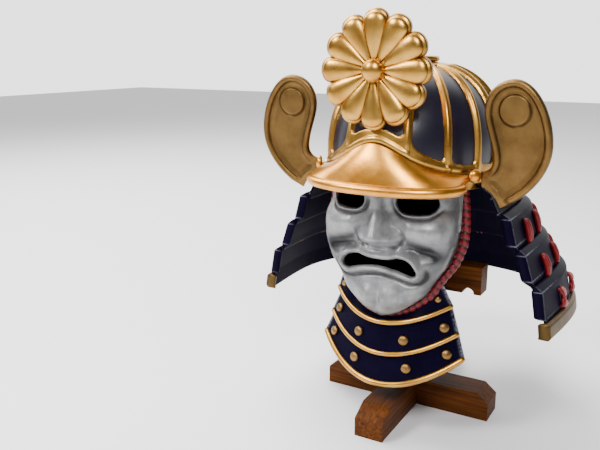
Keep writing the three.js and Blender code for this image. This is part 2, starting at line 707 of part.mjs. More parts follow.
// Each lame's section, from its upper edge down: [half width, height, y of the front edge, depth
// of the front edge]. A lame's last row is tucked behind the lame below it. The top lame starts
// against the bowl.
const NECK = [
  [[108.5, 318, -66, 0], [115, 303, -66, 0], [123.6, 285.5, -66, 0], [127, 277, -60, 0]],
  [[128, 286, -66, 0], [137.5, 280.5, -66, 12], [145.5, 250, -66, 12], [148, 240, -60, 0]],
  [[149.3, 246.5, -66, 0], [157, 240.5, -66, 12], [166.3, 211, -66, 12], [168.3, 201, -60, 0]],
  [[169.8, 206.5, -66, 0], [178.5, 200.5, -66, 12], [184, 168, -66, 12], [184, 166, -61, 0],
    [183, 146, -61, 0]],
];
const TRIM = [[186.4, 165.6, -66, 0], [190.5, 162.5, -66, 14], [192.5, 148, -66, 14], [190, 144.5, -66, 12]];
const TRIM_INSIDE = [[185.6, 165], [185.6, 161], [185.2, 148], [185.2, 145.5]];
const EDGE_FOLD = 3.2; // thickness of a lame's turned-in front edge

const NECK_TOP = { halfWidth: 108, middleY: BOWL_AXIS_Y, backY: 106 };
const NECK_LOW = { halfWidth: 188, middleY: 20, backY: 196 };
const NECK_SQUARENESS = 2.5; // exponent of the plan's back half
const NECK_FLARE = 8; // how far the foot's sides bow out
const NECK_FLARE_RUN = [-66, 140]; // from the front edge to the back corner
const BOWL_JOINT_SWEEP = 120; // degrees of the bowl that each half of the top lame wraps
const LACED_COLUMNS = 12;
const LACED_TO = 0.825; // place of the outermost columns along a half

const curved = (halfWidth) => 1.6 * halfWidth; // run of the plan's curved part, back to side
const lowness = (halfWidth) =>
  (halfWidth - NECK_TOP.halfWidth) / (NECK_LOW.halfWidth - NECK_TOP.halfWidth);
const middleOf = (halfWidth) => mix(NECK_TOP.middleY, NECK_LOW.middleY, lowness(halfWidth));
const backOf = (halfWidth) => mix(NECK_TOP.backY, NECK_LOW.backY, lowness(halfWidth));
const halfRun = (halfWidth, frontY) => curved(halfWidth) + middleOf(halfWidth) - frontY;

// How far the sides of the plan bow out at a depth
function flare(halfWidth, y) {
  const [from, to] = NECK_FLARE_RUN;
  const share = min(max((y - from) / (to - from), 0), 1);
  return NECK_FLARE * lowness(halfWidth) ** 2 * sin(PI * share);
}

// A point of the U-shaped plan. t is 0 at the middle of the back, 1 at the right front edge.
function neckPlan(halfWidth, frontY, t, out) {
  const run = abs(t) * halfRun(halfWidth, frontY);
  const middle = middleOf(halfWidth);
  const a = min(run / curved(halfWidth), 1) * PI / 2;
  const power = 2 / NECK_SQUARENESS;
  const back = backOf(halfWidth) - middle + out;
  const y = middle + back * cos(a) ** power - max(run - curved(halfWidth), 0);
  return [sign(t) * ((halfWidth + out) * sin(a) ** power + flare(halfWidth, y)), y];
}

// Outward direction of a lame's section at one of its rows, as [out, up]
function sectionNormal(rows, i) {
  const [w0, z0] = rows[max(i - 1, 0)];
  const [w1, z1] = rows[min(i + 1, rows.length - 1)];
  const length = hypot(w1 - w0, z1 - z0);
  return [(z0 - z1) / length, (w1 - w0) / length];
}

function neckPoint(rows, i, t, out) {
  const [halfWidth, z, frontY] = rows[i];
  const [across, up] = sectionNormal(rows, i);
  return [...neckPlan(halfWidth, frontY, t, across * out), z + up * out];
}

// Places of the wall's columns, crowded where the front edge folds in
function neckColumns(rows) {
  const fold = EDGE_FOLD / halfRun(rows[1][0], rows[1][2]);
  const side = [1 - fold * 1.3, 1 - fold, 1];
  return [...side.map((t) => -t).reverse(), ...steps(14, -0.95, 0.95), ...side];
}

function neckLame(rows, insideRows, atBowl = false) {
  const columns = neckColumns(rows);
  const foldStart = columns[columns.length - 2];
  const skin = (inside) => rows.map(([halfWidth, z, frontY, depth], i) => columns.map((t) => {
    if (atBowl && i === 0) {
      const turn = (t < 0 ? -1 : 1) * (180 - BOWL_JOINT_SWEEP * abs(t));
      return bowlPoint(turn, z - BOWL_SPRING_Z, FRAME_THICKNESS + 1.2 + (inside ? 0 : NECK_WALL));
    }
    const folded = inside && depth > 0 && abs(t) >= foldStart;
    if (folded) return [...neckPlan(halfWidth, frontY, t, -depth), z];
    if (!inside) return neckPoint(rows, i, t, 0);
    if (!insideRows) return neckPoint(rows, i, t, -NECK_WALL);
    return [...neckPlan(insideRows[i][0], frontY, t, 0), insideRows[i][1]];
  }));
  return wall(skin(false), skin(true));
}

// One column of silk cord laced down the three laced lames, as a strip over their steps
function lacing(t) {
  const route = NECK.slice(1).flatMap((rows) => [rows[1], rows[2]]);
  const half = LACING_WIDTH / 2;
  const skin = (out) => route.map((_, i) => [-half, half].map((offset) => {
    const [halfWidth, , frontY] = route[i];
    return neckPoint(route, i, t + offset / halfRun(halfWidth, frontY), out);
  }));
  return wall(skin(LACING_STANDOFF + LACING_THICKNESS), skin(LACING_STANDOFF));
}

NECK.forEach((rows, lame) => {
  place(`neck_lame_${lame + 1}`, neckLame(rows, null, lame === 0), lacquer);
});
place('neck_trim', neckLame(TRIM, TRIM_INSIDE), gilt);
steps(LACED_COLUMNS - 1, -LACED_TO, LACED_TO).forEach((t, i) => {
  place(`lacing_${i + 1}`, lacing(t), silk);
});

// ---- Stand --------------------------------------------------------------------------------

// A bar with its upper end corners cut off, lying along X
function footBar({ halfLength, width, height, endHeight, chamfer }) {
  const outline = flat([[-halfLength, 0], [halfLength, 0], [halfLength, endHeight],
    [halfLength - chamfer, height], [chamfer - halfLength, height], [-halfLength, endHeight]]);
  return tidy(extrude(outline, width).translate(0, 0, -width / 2).rotateX(PI / 2));
}

function stand() {
  const beamWidth = BEAM.width / 2 + GAP;
  const footWidth = FOOT.width / 2 + GAP;
  const half = BEAM.height / 2;
  const beam = cut(footBar(BEAM), [box(-footWidth, footWidth, -50, 50, half - GAP / 2, 60)]);
  const foot = cut(tidy(footBar(FOOT).rotateZ(PI / 2)), [box(-50, 50, -beamWidth, beamWidth, -10, half + GAP / 2)]);
  const w = POST_WIDTH / 2;
  place('stand_beam', beam, wood);
  place('stand_foot', foot, wood);
  place('stand_post', box(-w, w, -w, w, BEAM.height + GAP, POST_TOP_Z), wood);
  const { halfLength, thickness, bottom, top } = CROSSBAR;
  const notch = (x) => extrude(new THREE.Shape().absarc(x, bottom, 8, 0, 2 * PI), thickness + 10)
    .rotateX(PI / 2).translate(0, w + thickness + 5, 0);
  const crossbar = box(-halfLength, halfLength, w + GAP, w + GAP + thickness, bottom, top);
  place('stand_crossbar', cut(crossbar, [tidy(notch(-70)), tidy(notch(70))]), wood);
  const rest = turned([[0, POST_TOP_Z + GAP], [REST_RADIUS, POST_TOP_Z + GAP], [REST_RADIUS, REST_TOP_Z - 3],
    [REST_RADIUS - 4, REST_TOP_Z], [0, REST_TOP_Z]], 18);
  place('stand_head_rest', rest.translate(0, BOWL_AXIS_Y / 2, 0), wood);
}

stand();

export default kabuto;
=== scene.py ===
"""A kabuto, the helmet of Japanese armour, with its face mask and throat guard, on a wooden stand."""

import math

import bmesh
import bpy
import numpy as np
from mathutils import Matrix, Vector


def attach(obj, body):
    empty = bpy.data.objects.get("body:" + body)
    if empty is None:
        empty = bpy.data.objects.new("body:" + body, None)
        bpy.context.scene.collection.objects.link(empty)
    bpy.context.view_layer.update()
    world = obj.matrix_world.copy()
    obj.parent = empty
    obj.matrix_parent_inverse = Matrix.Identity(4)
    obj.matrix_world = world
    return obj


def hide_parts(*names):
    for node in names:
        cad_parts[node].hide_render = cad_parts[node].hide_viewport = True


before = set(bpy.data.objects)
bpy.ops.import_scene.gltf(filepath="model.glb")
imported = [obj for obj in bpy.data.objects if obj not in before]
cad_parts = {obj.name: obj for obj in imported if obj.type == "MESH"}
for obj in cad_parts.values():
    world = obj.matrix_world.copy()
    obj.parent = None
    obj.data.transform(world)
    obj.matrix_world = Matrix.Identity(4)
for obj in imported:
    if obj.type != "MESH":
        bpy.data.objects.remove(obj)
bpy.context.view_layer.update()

# ---- Camera ---------------------------------------------------------------------------------
# A short telephoto stands a metre away at the height of the crest, a third of the way round to
# the helmet's left cheek, and looks slightly down.

MM = 0.001
AZIMUTH = math.radians(30.257)
PITCH = math.radians(13.941)
CAMERA_AT = (324.5, -858.4, 468.3)
LENS = 42.55


def put(name, data):
    """Puts a camera, mesh or lamp in the scene as an object."""
    made = bpy.data.objects.new(name, data)
    bpy.context.scene.collection.objects.link(made)
    return made


camera = put("camera", bpy.data.cameras.new("camera"))
bpy.context.scene.camera = camera
camera.location = Vector(CAMERA_AT) * MM
camera.data.lens = LENS
towards_camera = Vector((math.sin(AZIMUTH) * math.cos(PITCH), -math.cos(AZIMUTH) * math.cos(PITCH),
                         math.sin(PITCH)))
camera.rotation_euler = (-towards_camera).to_track_quat("-Z", "Y").to_euler()

# ---- Bowl ------------------------------------------------------------------------------------
# The bowl is a raised iron shell in black lacquer with a violet cast. It is brushed on in many
# coats and polished, so it is nearly a mirror, with a little unevenness left under the gloss.

LACQUER = "#04020e"
LACQUER_VIOLET = "#0d0722"
LACQUER_WORN = "#8b8a99"
BOWL_HALF_WIDTH = 102.5
BOWL_FRONT_REACH = 127.5
BOWL_BACK_REACH = 112
BOWL_AXIS_Y = -11
BOWL_SPRING_Z = 340
BOWL_TOP_Z = 451
BOWL_RIM_Z = 314
BOWL_FULLNESS = 2.5
BOWL_WALL = 2
CROWN_HOLE_LIFT = 85


def linear(hex_colour):
    """An sRGB hex colour as linear RGBA."""
    parts = [int(hex_colour[i:i + 2], 16) / 255 for i in (1, 3, 5)]
    return [p / 12.92 if p <= 0.04045 else ((p + 0.055) / 1.055) ** 2.4 for p in parts] + [1]


def add(tree, kind, settings=(), output=0, **inputs):
    """Adds a node with its settings and links, and gives one of its outputs. Inputs are by name, with
    _ for a space, or i6 for number 6."""
    made = tree.nodes.new("ShaderNode" + kind)
    for name, value in dict(settings).items():
        setattr(made, name, value)
    for name, value in inputs.items():
        key = int(name[1:]) if name[1:].isdigit() else name.replace("_", " ")
        if isinstance(value, bpy.types.NodeSocket):
            tree.links.new(value, made.inputs[key])
        else:
            made.inputs[key].default_value = value
    return made.outputs[output]


def feed(node, **sockets):
    """Links sockets to a node's inputs, by name with _ for a space."""
    for name, socket in sockets.items():
        node.id_data.links.new(socket, node.inputs[name.replace("_", " ")])


def new_material(name, **values):
    """A material whose shader has these plain values, with its tree, shader and object position."""
    material = bpy.data.materials.new(name)
    material.use_nodes = True
    tree = material.node_tree
    shader = tree.nodes["Principled BSDF"]
    for key, value in values.items():
        shader.inputs[key.replace("_", " ")].default_value = value
    return material, tree, shader, add(tree, "TexCoord", output="Object")


def per_grain(millimetres):
    """The noise scale that gives grains of about this width."""
    return 1 / (millimetres * MM)


COLOURS = {"data_type": "RGBA"}  # with MIXED, the setting and output of a Mix node for colours
MIXED = 2
SOFT = {"Detail": 4, "Roughness": 0.55}  # noise with fine grains inside its coarse ones
PLAIN = {"Detail": 2, "Roughness": 0.55}


def lacquer_material(name, gloss, coat, roughness):
    """Urushi lacquer. Polished, it shows a soft glassy haze; left from the brush, it stays black."""
    material, tree, shader, place = new_material(name, IOR=1.54, Specular_IOR_Level=gloss, Coat_Weight=coat,
                                                 Coat_Roughness=0.16)
    cloudy = add(tree, "TexNoise", Vector=place, Scale=per_grain(35), **SOFT)
    tint = add(tree, "Mix", COLOURS, MIXED, i0=cloudy, i6=linear(LACQUER), i7=linear(LACQUER_VIOLET))
    worn = add(tree, "Attribute", {"attribute_name": "wear"}, "Fac")
    flakes = add(tree, "TexNoise", Vector=place, Scale=per_grain(3), **SOFT)
    patchy = add(tree, "MapRange", i0=flakes, i1=0.35, i2=0.55)
    share = add(tree, "Math", {"operation": "MULTIPLY"}, i0=worn, i1=patchy)
    waves = add(tree, "TexNoise", Vector=place, Scale=per_grain(9), **PLAIN)
    feed(shader, Base_Color=add(tree, "Mix", COLOURS, MIXED, i0=share, i6=tint, i7=linear(LACQUER_WORN)),
         Roughness=add(tree, "MapRange", i0=cloudy, i3=roughness - 0.05, i4=roughness + 0.07),
         Normal=add(tree, "Bump", Height=waves, Distance=0.08 * MM))
    return material


def new_piece(node, mesh, material):
    """Puts a finished mesh in the scene as the piece that stands for a CAD node."""
    mesh.name = node + "_fine"
    piece = put(node + "_fine", mesh)
    mesh.materials.append(material)
    mesh.polygons.foreach_set("use_smooth", [True] * len(mesh.polygons))
    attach(piece, "root")
    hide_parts(node)
    return piece


def mesh_of(points, faces, merge=0.0, **shares):
    """A mesh from points in millimetres, with no loose points and its faces turned to point out.
    Points nearer than merge become one. Each share, such as wear, is kept for the material."""
    mesh = bpy.data.meshes.new("piece")
    mesh.from_pydata((np.asarray(points, float).reshape(-1, 3) * MM).tolist(), [], faces)
    for key, values in shares.items():
        kept = mesh.attributes.new(key, "FLOAT", "POINT").data
        kept.foreach_set("value", np.clip(np.ravel(values), 0, 1).astype(float))
    fine = bmesh.new()
    fine.from_mesh(mesh)
    bmesh.ops.delete(fine, geom=[v for v in fine.verts if not v.link_faces], context="VERTS")
    if merge:
        bmesh.ops.remove_doubles(fine, verts=fine.verts, dist=merge * MM)
    bmesh.ops.recalc_face_normals(fine, faces=fine.faces)
    fine.to_mesh(mesh)
    fine.free()
    return mesh


def quads(rows, columns, ring=False, start=0):
    """The faces of a grid of points, counted from start. A ring joins the last column to the first."""
    spans = columns if ring else columns - 1
    return [(start + r * columns + c, start + r * columns + (c + 1) % columns,
             start + (r + 1) * columns + (c + 1) % columns, start + (r + 1) * columns + c)
            for r in range(rows - 1) for c in range(spans)]


def wall(outer, inner, ring=False):
    """Points and faces of a closed wall between two grids of the same size."""
    rows, columns = outer.shape[:2]
    size = rows * columns
    faces = quads(rows, columns, ring) + quads(rows, columns, ring, size)
    spans = columns if ring else columns - 1
    rims = [(r * columns + c, r * columns + (c + 1) % columns) for r in (0, rows - 1) for c in range(spans)]
    if not ring:
        rims += [(r * columns + c, (r + 1) * columns + c) for c in (0, columns - 1) for r in range(rows - 1)]
    faces += [(a, b, b + size, a + size) for a, b in rims]
    return np.concatenate([outer.reshape(-1, 3), inner.reshape(-1, 3)]), faces


def bowl_point(angle, lift, out):
    """Points of the bowl. angle is degrees from the brow towards +X. lift is degrees up the dome
    or, below zero, millimetres down the skirt."""
    a = np.radians(angle)
    reach = np.where(np.cos(a) > 0, BOWL_FRONT_REACH, BOWL_BACK_REACH) + out
    radius = 1 / np.hypot(np.sin(a) / (BOWL_HALF_WIDTH + out), np.cos(a) / reach)
    rise = np.radians(np.maximum(lift, 0))
    spread = np.cos(rise) ** (2 / BOWL_FULLNESS)
    height = (BOWL_TOP_Z - BOWL_SPRING_Z + out) * np.sin(rise) ** (2 / BOWL_FULLNESS)
    x = spread * radius * np.sin(a)
    y = BOWL_AXIS_Y - spread * radius * np.cos(a)
    z = BOWL_SPRING_Z + height + np.minimum(lift, 0)
    return np.stack(np.broadcast_arrays(x, y, z), -1)


def lift_at(z):
    """The lift at which the bowl's skin passes a height."""
    share = np.clip((z - BOWL_SPRING_Z) / (BOWL_TOP_Z - BOWL_SPRING_Z), 0, 1)
    dome = np.degrees(np.arcsin(share ** (BOWL_FULLNESS / 2)))
    return np.where(z < BOWL_SPRING_Z, z - BOWL_SPRING_Z, dome)


lacquer = lacquer_material("polished_black_urushi", 0.55, 0.15, 0.3)
lifts = np.concatenate([np.linspace(BOWL_RIM_Z - BOWL_SPRING_Z, -1, 8),
                        CROWN_HOLE_LIFT * np.linspace(0, 1, 64) ** 1.15])[:, None]
angles = np.linspace(0, 360, 192, endpoint=False)[None, :]
shell = wall(bowl_point(angles, lifts, 0), bowl_point(angles, lifts, -BOWL_WALL), ring=True)
new_piece("bowl_shell", mesh_of(*shell), lacquer)

# ---- Gilt frame -------------------------------------------------------------------------------
# A brow band, ribs and a crown collar are soldered up into one cage over the bowl. It is old
# fire-gilt brass: warm and satin on the high places, and brown in its grooves from gathered
# polish and painted shade.

RIB_ANGLES = np.array([-156, -132, -108, -84, -62, -39, -16.5, 16.5, 39, 62, 84, 108, 132, 156, 180])
RIB_HALF_WIDTH = 4.25
FRAME_THICKNESS = 2.8
FRAME_TURNED_IN = 0.4
FRAME_SPREAD = 1
FRAME_SUNK = 1
FRAME_SKIRT = 0.6
FRAME_COLUMNS = 660
EDGE_NUDGE = 0.02
EDGE_REACH = 0.45
EDGE_PULL = 0.25
BEAD_HEIGHT = 1.9
BAND_BOTTOM_Z = 312
WINDOW_CORNER = 8
COLLAR_LIFT = 75
CROWN_RADIUS = 80
VISOR_HALF_ANGLE = 57
VISOR_FADE = (61, 56)


def gilt_material(name, bright, deep, tarnish_and_shade, roughness):
    """Fire-gilt brass. Burnished gold on top, and brown in the hollows that is partly tarnish and partly
    painted shade, give it its age.
    """
    material, tree, shader, place = new_material(name, Metallic=1.0)
    wash = add(tree, "TexNoise", Vector=place, Scale=per_grain(22), Detail=6, Roughness=0.55)
    patches = add(tree, "MapRange", i0=wash, i1=0.35, i2=0.7)
    body = add(tree, "Mix", COLOURS, MIXED, i0=patches, i6=linear(bright), i7=linear(deep))
    # The hollow attribute paints brown into grooves, undersides and feet: tarnish and painted shade.
    hollow = add(tree, "Attribute", {"attribute_name": "hollow"}, "Fac")
    hollow_noise = add(tree, "TexNoise", Vector=place, Scale=per_grain(2.5), **SOFT)
    specks = add(tree, "MapRange", i0=hollow_noise, i1=0.3, i2=0.75, i3=0.75, i4=1.1)
    share = add(tree, "Math", {"operation": "MULTIPLY", "use_clamp": True}, i0=hollow, i1=specks)
    rubbed = add(tree, "TexNoise", Vector=place, Scale=per_grain(12), **SOFT)
    rough = add(tree, "MapRange", i0=rubbed, i3=roughness - 0.07, i4=roughness + 0.1)
    dents = add(tree, "TexNoise", Vector=place, Scale=per_grain(4), Detail=3, Roughness=0.55)
    feed(shader, Base_Color=add(tree, "Mix", COLOURS, MIXED, i0=share, i6=body, i7=linear(tarnish_and_shade)),
         Roughness=add(tree, "Math", {"operation": "MULTIPLY_ADD"}, i0=share, i1=0.2, i2=rough),
         Normal=add(tree, "Bump", Height=dents, Distance=0.1 * MM))
    return material


def smooth(low, high, value):
    share = np.clip((value - low) / (high - low), 0, 1)
    return share * share * (3 - 2 * share)


def ridge(value, middle, width):
    return np.exp(-((value - middle) / width) ** 2)


def half_round(distance):
    """Height of a half-round of radius 1, at a distance from its middle."""
    return np.sqrt(np.clip(1 - distance ** 2, 0, 1))


def band_top(angle):
    return 336 + 45 / (1 + np.abs(angle / 22.5) ** 2.8)


def visor_joint_z(angle):
    return 324 + 42 / (1 + (angle / 22.5) ** 2)


def frame_heights(angle, lift, skin):
    """How proud the cage stands at each point of the bowl, how much tarnish and painted shade it
    gets in its grooves, and how far inside the cage's outline it is."""
    turn = (angle + 180) % 360 - 180
    to_rib = np.min(np.abs((turn[..., None] - RIB_ANGLES + 180) % 360 - 180), -1)
    centre = np.radians(to_rib) * np.hypot(skin[..., 0], skin[..., 1] - BOWL_AXIS_Y)
    aside = centre - RIB_HALF_WIDTH
    above = skin[..., 2] - band_top(turn)
    below = np.radians(COLLAR_LIFT - lift) * CROWN_RADIUS
    r = WINDOW_CORNER
    corner = r - np.hypot(np.maximum(r - aside, 0), np.maximum(r - above, 0))
    window = np.where((aside < r) & (above < r), corner, np.minimum(np.minimum(aside, above), below))
    metal = -np.minimum(window, np.maximum(below, -40))
    plate = FRAME_THICKNESS * half_round(1 - np.clip((metal + FRAME_SPREAD) / 1.9, 0, 1))
    plate = plate - FRAME_SUNK * (metal < -FRAME_SPREAD - 0.1)
    fade = smooth(-16, 2, above) * smooth(0, 6, below)
    bead = BEAD_HEIGHT * half_round(centre / 3.1) * fade
    lip = skin[..., 2] - visor_joint_z(turn) - 4.5
    before_visor = smooth(*VISOR_FADE, np.abs(turn))
    roll = 1.5 * half_round(lip / 3.6) * before_visor
    beside_roll = 0.7 * ridge(lip, -4, 1.0) + 0.35 * ridge(lip, 4.2, 0.8)
    # Painted shade in the grooves beside each rib's bead and beside the visor's roll, and along the skirt's
    # edge.
    hollow = 0.6 * ridge(centre, 3.3, 0.7) * fade + beside_roll * before_visor
    return plate + bead + roll, hollow + 0.25 * smooth(-0.2, -0.9, metal), metal


gilt = gilt_material("fire_gilt_brass", "#cf9f4c", "#b07c34", "#4a3012", 0.29)
angles = np.linspace(-180, 180, FRAME_COLUMNS, endpoint=False)
lifts = np.concatenate([np.linspace(BAND_BOTTOM_Z - BOWL_SPRING_Z, -0.6, 30),
                        CROWN_HOLE_LIFT * np.linspace(0, 1, 150) ** 1.12])
angle, lift = np.meshgrid(angles, lifts)
# Points near the cage's outline are drawn onto it, so that its edge runs smoothly.
for _ in range(2):
    edge, across, upward = (
        frame_heights(angle + a, lift + b, bowl_point(angle + a, lift + b, 0))[2] + FRAME_SPREAD
        for a, b in ((0, 0), (EDGE_NUDGE, 0), (0, EDGE_NUDGE)))
    slope = np.stack([across - edge, upward - edge]) / EDGE_NUDGE
    around = bowl_point(angle, lift, 0)[..., :2] - [0, BOWL_AXIS_Y]
    column = 2 * np.pi / FRAME_COLUMNS * np.linalg.norm(around, axis=-1)
    near = (np.abs(edge) < EDGE_REACH * column) & (np.abs(lift) > 1)
    pull = np.where(near, edge / (slope ** 2).sum(0), 0)
    angle, lift = (at - np.clip(pull * part, -EDGE_PULL, EDGE_PULL) for at, part in zip((angle, lift), slope))
height, hollow, metal = frame_heights(angle, lift, bowl_point(angle, lift, 0))
height[0] = FRAME_TURNED_IN
skin = bowl_point(angle, lift, height)
faces = [f for f in quads(*skin.shape[:2], ring=True)
         if np.max(metal.ravel()[list(f)]) > -FRAME_SPREAD - FRAME_SKIRT]
new_piece("bowl_frame", mesh_of(skin, faces, hollow=hollow), gilt)


def turned(profile, segments=64, matrix=Matrix(), hollow=0.0):
    """A mesh turned on the Z axis from a closed or axis-to-axis profile of (radius, height)."""
    profile = np.asarray(profile, float)
    turn = np.linspace(0, 2 * np.pi, segments, endpoint=False)
    rings = np.stack([profile[:, :1] * np.cos(turn), profile[:, :1] * np.sin(turn),
                      np.repeat(profile[:, 1:], segments, 1)], -1)
    mesh = mesh_of(rings, quads(len(profile), segments, ring=True), merge=0.001,
                   hollow=np.repeat(np.broadcast_to(hollow, len(profile)), segments))
    mesh.transform(matrix)
    return mesh


def arc(centre, radius, start, end, count):
    """Points of an arc in a profile, from start to end degrees."""
    a = np.radians(np.linspace(start, end, count))
    return [(centre[0] + radius * np.cos(t), centre[1] + radius * np.sin(t)) for t in a]


foot = BOWL_TOP_Z + 2.6
profile = [(14, foot)] + arc((21.4, foot + 3.3), 3.5, -80, 110, 16) + arc((16.2, foot + 3.4), 2.2, 60, 180, 8)
on_crown = Matrix.Translation((0, BOWL_AXIS_Y * MM, 0))
new_piece("crown_ring", turned(profile + profile[:1], 96, on_crown), gilt)

# ---- Visor ------------------------------------------------------------------------------------
# The visor is one sheet of brass beaten to a bill, with its edge rolled over a wire. Its gilding
# is thicker and redder than the frame's, and is rubbed bright along the roll.

LIP_HALF_WIDTH = 93.5
LIP_REACH = 160
LIP_BACK_Y = -104
LIP_Z = 317
LIP_RADIUS = 5.6
LIP_ROLL = 4.6
VISOR_THICKNESS = 2.4
VISOR_COLUMNS = 220
ROLL_ROWS = 20
VISOR_RIVET = {"angle": 53.8, "z": 330.5, "proud": 10.8}
SIDES = (("left", -1), ("right", 1))


def lip_point(t, out=0.0):
    a = t * np.pi / 2
    power = 2 / 2.3
    reach = LIP_REACH + LIP_BACK_Y + out
    return np.stack([(LIP_HALF_WIDTH + out) * np.sign(t) * np.abs(np.sin(a)) ** power,
                     LIP_BACK_Y - reach * np.cos(a) ** power,
                     LIP_Z + t * t], -1)


def visor_skin(t, v):
    """Points of the visor's top face. v is 0 at the bowl and 1 at the rolled lip."""
    angle = t * VISOR_HALF_ANGLE
    joint = bowl_point(angle, lift_at(visor_joint_z(angle)), 3.4 + VISOR_THICKNESS)
    lip = lip_point(t, -1.2) + [0, 0, LIP_RADIUS + 0.2]
    v = v[..., None]
    swell = np.sin(np.pi * v) * (1 - np.abs(t[..., None]) ** 2)
    return joint * (1 - v) + lip * v + swell * np.array([0, -1.6, 2.6])


visor_gilt = gilt_material("rubbed_fire_gilding", "#e6a244", "#cd8328", "#5b3713", 0.32)
across = np.linspace(-1, 1, VISOR_COLUMNS)
t, v = np.meshgrid(across, np.linspace(0, 1, 46))
top = visor_skin(t, v)
roll = [lip_point(across, LIP_ROLL * math.cos(a) - 0.6) + [0, 0, LIP_RADIUS * math.sin(a)]
        for a in np.radians(np.linspace(88, -100, ROLL_ROWS))]
under_roll = [lip_point(across, -3.2) + [0, 0, z] for z in np.linspace(2, -5.2, ROLL_ROWS)]
outer = np.concatenate([top, roll])
inner = np.concatenate([top - [0, -0.6, VISOR_THICKNESS], under_roll])
# Painted shade: dark lines along the joint and the lip, and the whole underside darkened.
groove = 0.7 * ridge(v, 1.0, 0.03) + 0.5 * ridge(v, 0, 0.02)
hollow = np.concatenate([groove.ravel(), np.zeros(ROLL_ROWS * VISOR_COLUMNS), np.full(inner.size // 3, 0.8)])
new_piece("visor", mesh_of(*wall(outer, inner), hollow=hollow), visor_gilt)


def facing(point, direction):
    """The placing of a thing made on the Z axis, at a point in millimetres and facing a direction."""
    turn = Vector(direction).to_track_quat("Z", "Y").to_matrix().to_4x4()
    return Matrix.Translation(Vector(point) * MM) @ turn


def dome_rivet(radius, height, collar, segments, seat, out):
    """A low dome on a thin collar, with painted shade round its foot, that stands on a seat and faces out."""
    rim = [(0, 0), (radius, 0), (radius, collar), (radius - 0.5, collar + 0.25)]
    dome = [((radius - 0.5) * math.cos(a), collar + 0.25 + (height - collar - 0.25) * math.sin(a))
            for a in np.radians(np.linspace(4, 90, 12))]
    painted_shade = [1] * len(rim) + [0] * len(dome)
    return turned(rim + dome[:-1] + [(0, height)], segments, facing(seat, out), painted_shade)


for side, way in SIDES:
    seat, ahead = (bowl_point(VISOR_RIVET["angle"] * way, VISOR_RIVET["z"] - BOWL_SPRING_Z, out)
                   for out in (VISOR_RIVET["proud"], VISOR_RIVET["proud"] + 1))
    rivet = dome_rivet(8.3, 7.8, 2.2, 48, seat, ahead - seat)
    new_piece("visor_rivet_" + side, rivet, visor_gilt)

# ---- Crest ------------------------------------------------------------------------------------
# The crest is a chrysanthemum of twelve petals. Each is a hollow drop raised in brass over a
# backing petal a little larger, soldered round a boss and gilt as one, and slots on a prong.

CREST_AT = np.array([0, -145, 446])
CREST_RADIUS = 65
PETALS = 12
PETAL_LAYERS = (
    {"length": 54, "half_width": 14.2, "base": -3.0, "height": 4.6, "back": -6.5, "set_in": 0,
     "shade": 0.5, "shade_from": 0.5, "shade_to": 0.9},
    {"length": 51.3, "half_width": 13.2, "base": 0.0, "height": 6.6, "back": -2.5, "set_in": 3.4,
     "shade": 0.75, "shade_from": 0.9, "shade_to": 1.0})


def petal_half_width(share):
    """Half-width of a petal, as a share, from its root at 0 to its tip at 1."""
    tip = 0.79
    shank = 0.2 + 0.8 * np.sin(np.pi / 2 * share / tip) ** 1.25
    return np.where(share < tip, shank, half_round((share - tip) / (1 - tip)))


def petal_grids(layer):
    """The dome of one drop, its flat back, and how near each point is to its edge. Points are
    (along, across, forward)."""
    share = 1 - (1 - np.linspace(0, 1, 44)) ** 1.6
    theta = np.linspace(0, np.pi, 28)
    width = petal_half_width(share)[:, None]
    along = CREST_RADIUS - layer["set_in"] - layer["length"] * (1 - share)
    dome = np.stack([np.repeat(along[:, None], len(theta), 1), layer["half_width"] * width * np.cos(theta),
                     layer["base"] + layer["height"] * width ** 0.75 * np.sin(theta) ** 0.9], -1)
    back = dome.copy()
    back[..., 2] = layer["back"]
    return dome, back, np.repeat(np.abs(np.cos(theta))[None, :], len(share), 0)


def merged(parts):
    """The points and faces of several bodies as one list of each."""
    points, faces, start = [], [], 0
    for part_points, part_faces in parts:
        points.append(part_points)
        faces += [tuple(start + k for k in f) for f in part_faces]
        start += len(part_points)
    return np.concatenate(points), faces


petals, hollows = [], []
for turn in 2 * np.pi * np.arange(PETALS) / PETALS:
    spoke = np.array([[math.sin(turn), 0, math.cos(turn)], [math.cos(turn), 0, -math.sin(turn)], [0, -1, 0]])
    for layer in PETAL_LAYERS:
        dome, back, edge = petal_grids(layer)
        points, faces = wall(dome, back)
        petals.append((points @ spoke + CREST_AT, faces))
        # Painted shade along each drop's edges, heavier on the backing petals between the drops.
        hollows += [layer["shade"] * smooth(layer["shade_from"], layer["shade_to"], edge).ravel(),
                    0.75 * smooth(0.9, 1.0, edge).ravel()]
new_piece("crest_flower", mesh_of(*merged(petals), hollow=np.concatenate(hollows)), gilt)

profile = [(0, 0), (11.8, 0), (12.0, 1.0)] + [(12.9 * math.cos(a), 3.4 + 9.6 * math.sin(a))
                                            for a in np.radians(np.linspace(-14, 88, 20))] + [(0, 13)]
# Painted shade round the boss's foot.
painted_shade = [1, 1, 1, 0.7, 0.3] + [0] * (len(profile) - 5)
new_piece("crest_boss", turned(profile, 64, facing(CREST_AT, (0, -1, 0)), painted_shade), gilt)

# ---- Ears -------------------------------------------------------------------------------------
# Each ear is a brass sheet with a rolled rim round a shallow dish and a raised round boss, set on
# a bright steel pin at the end of the brow band.

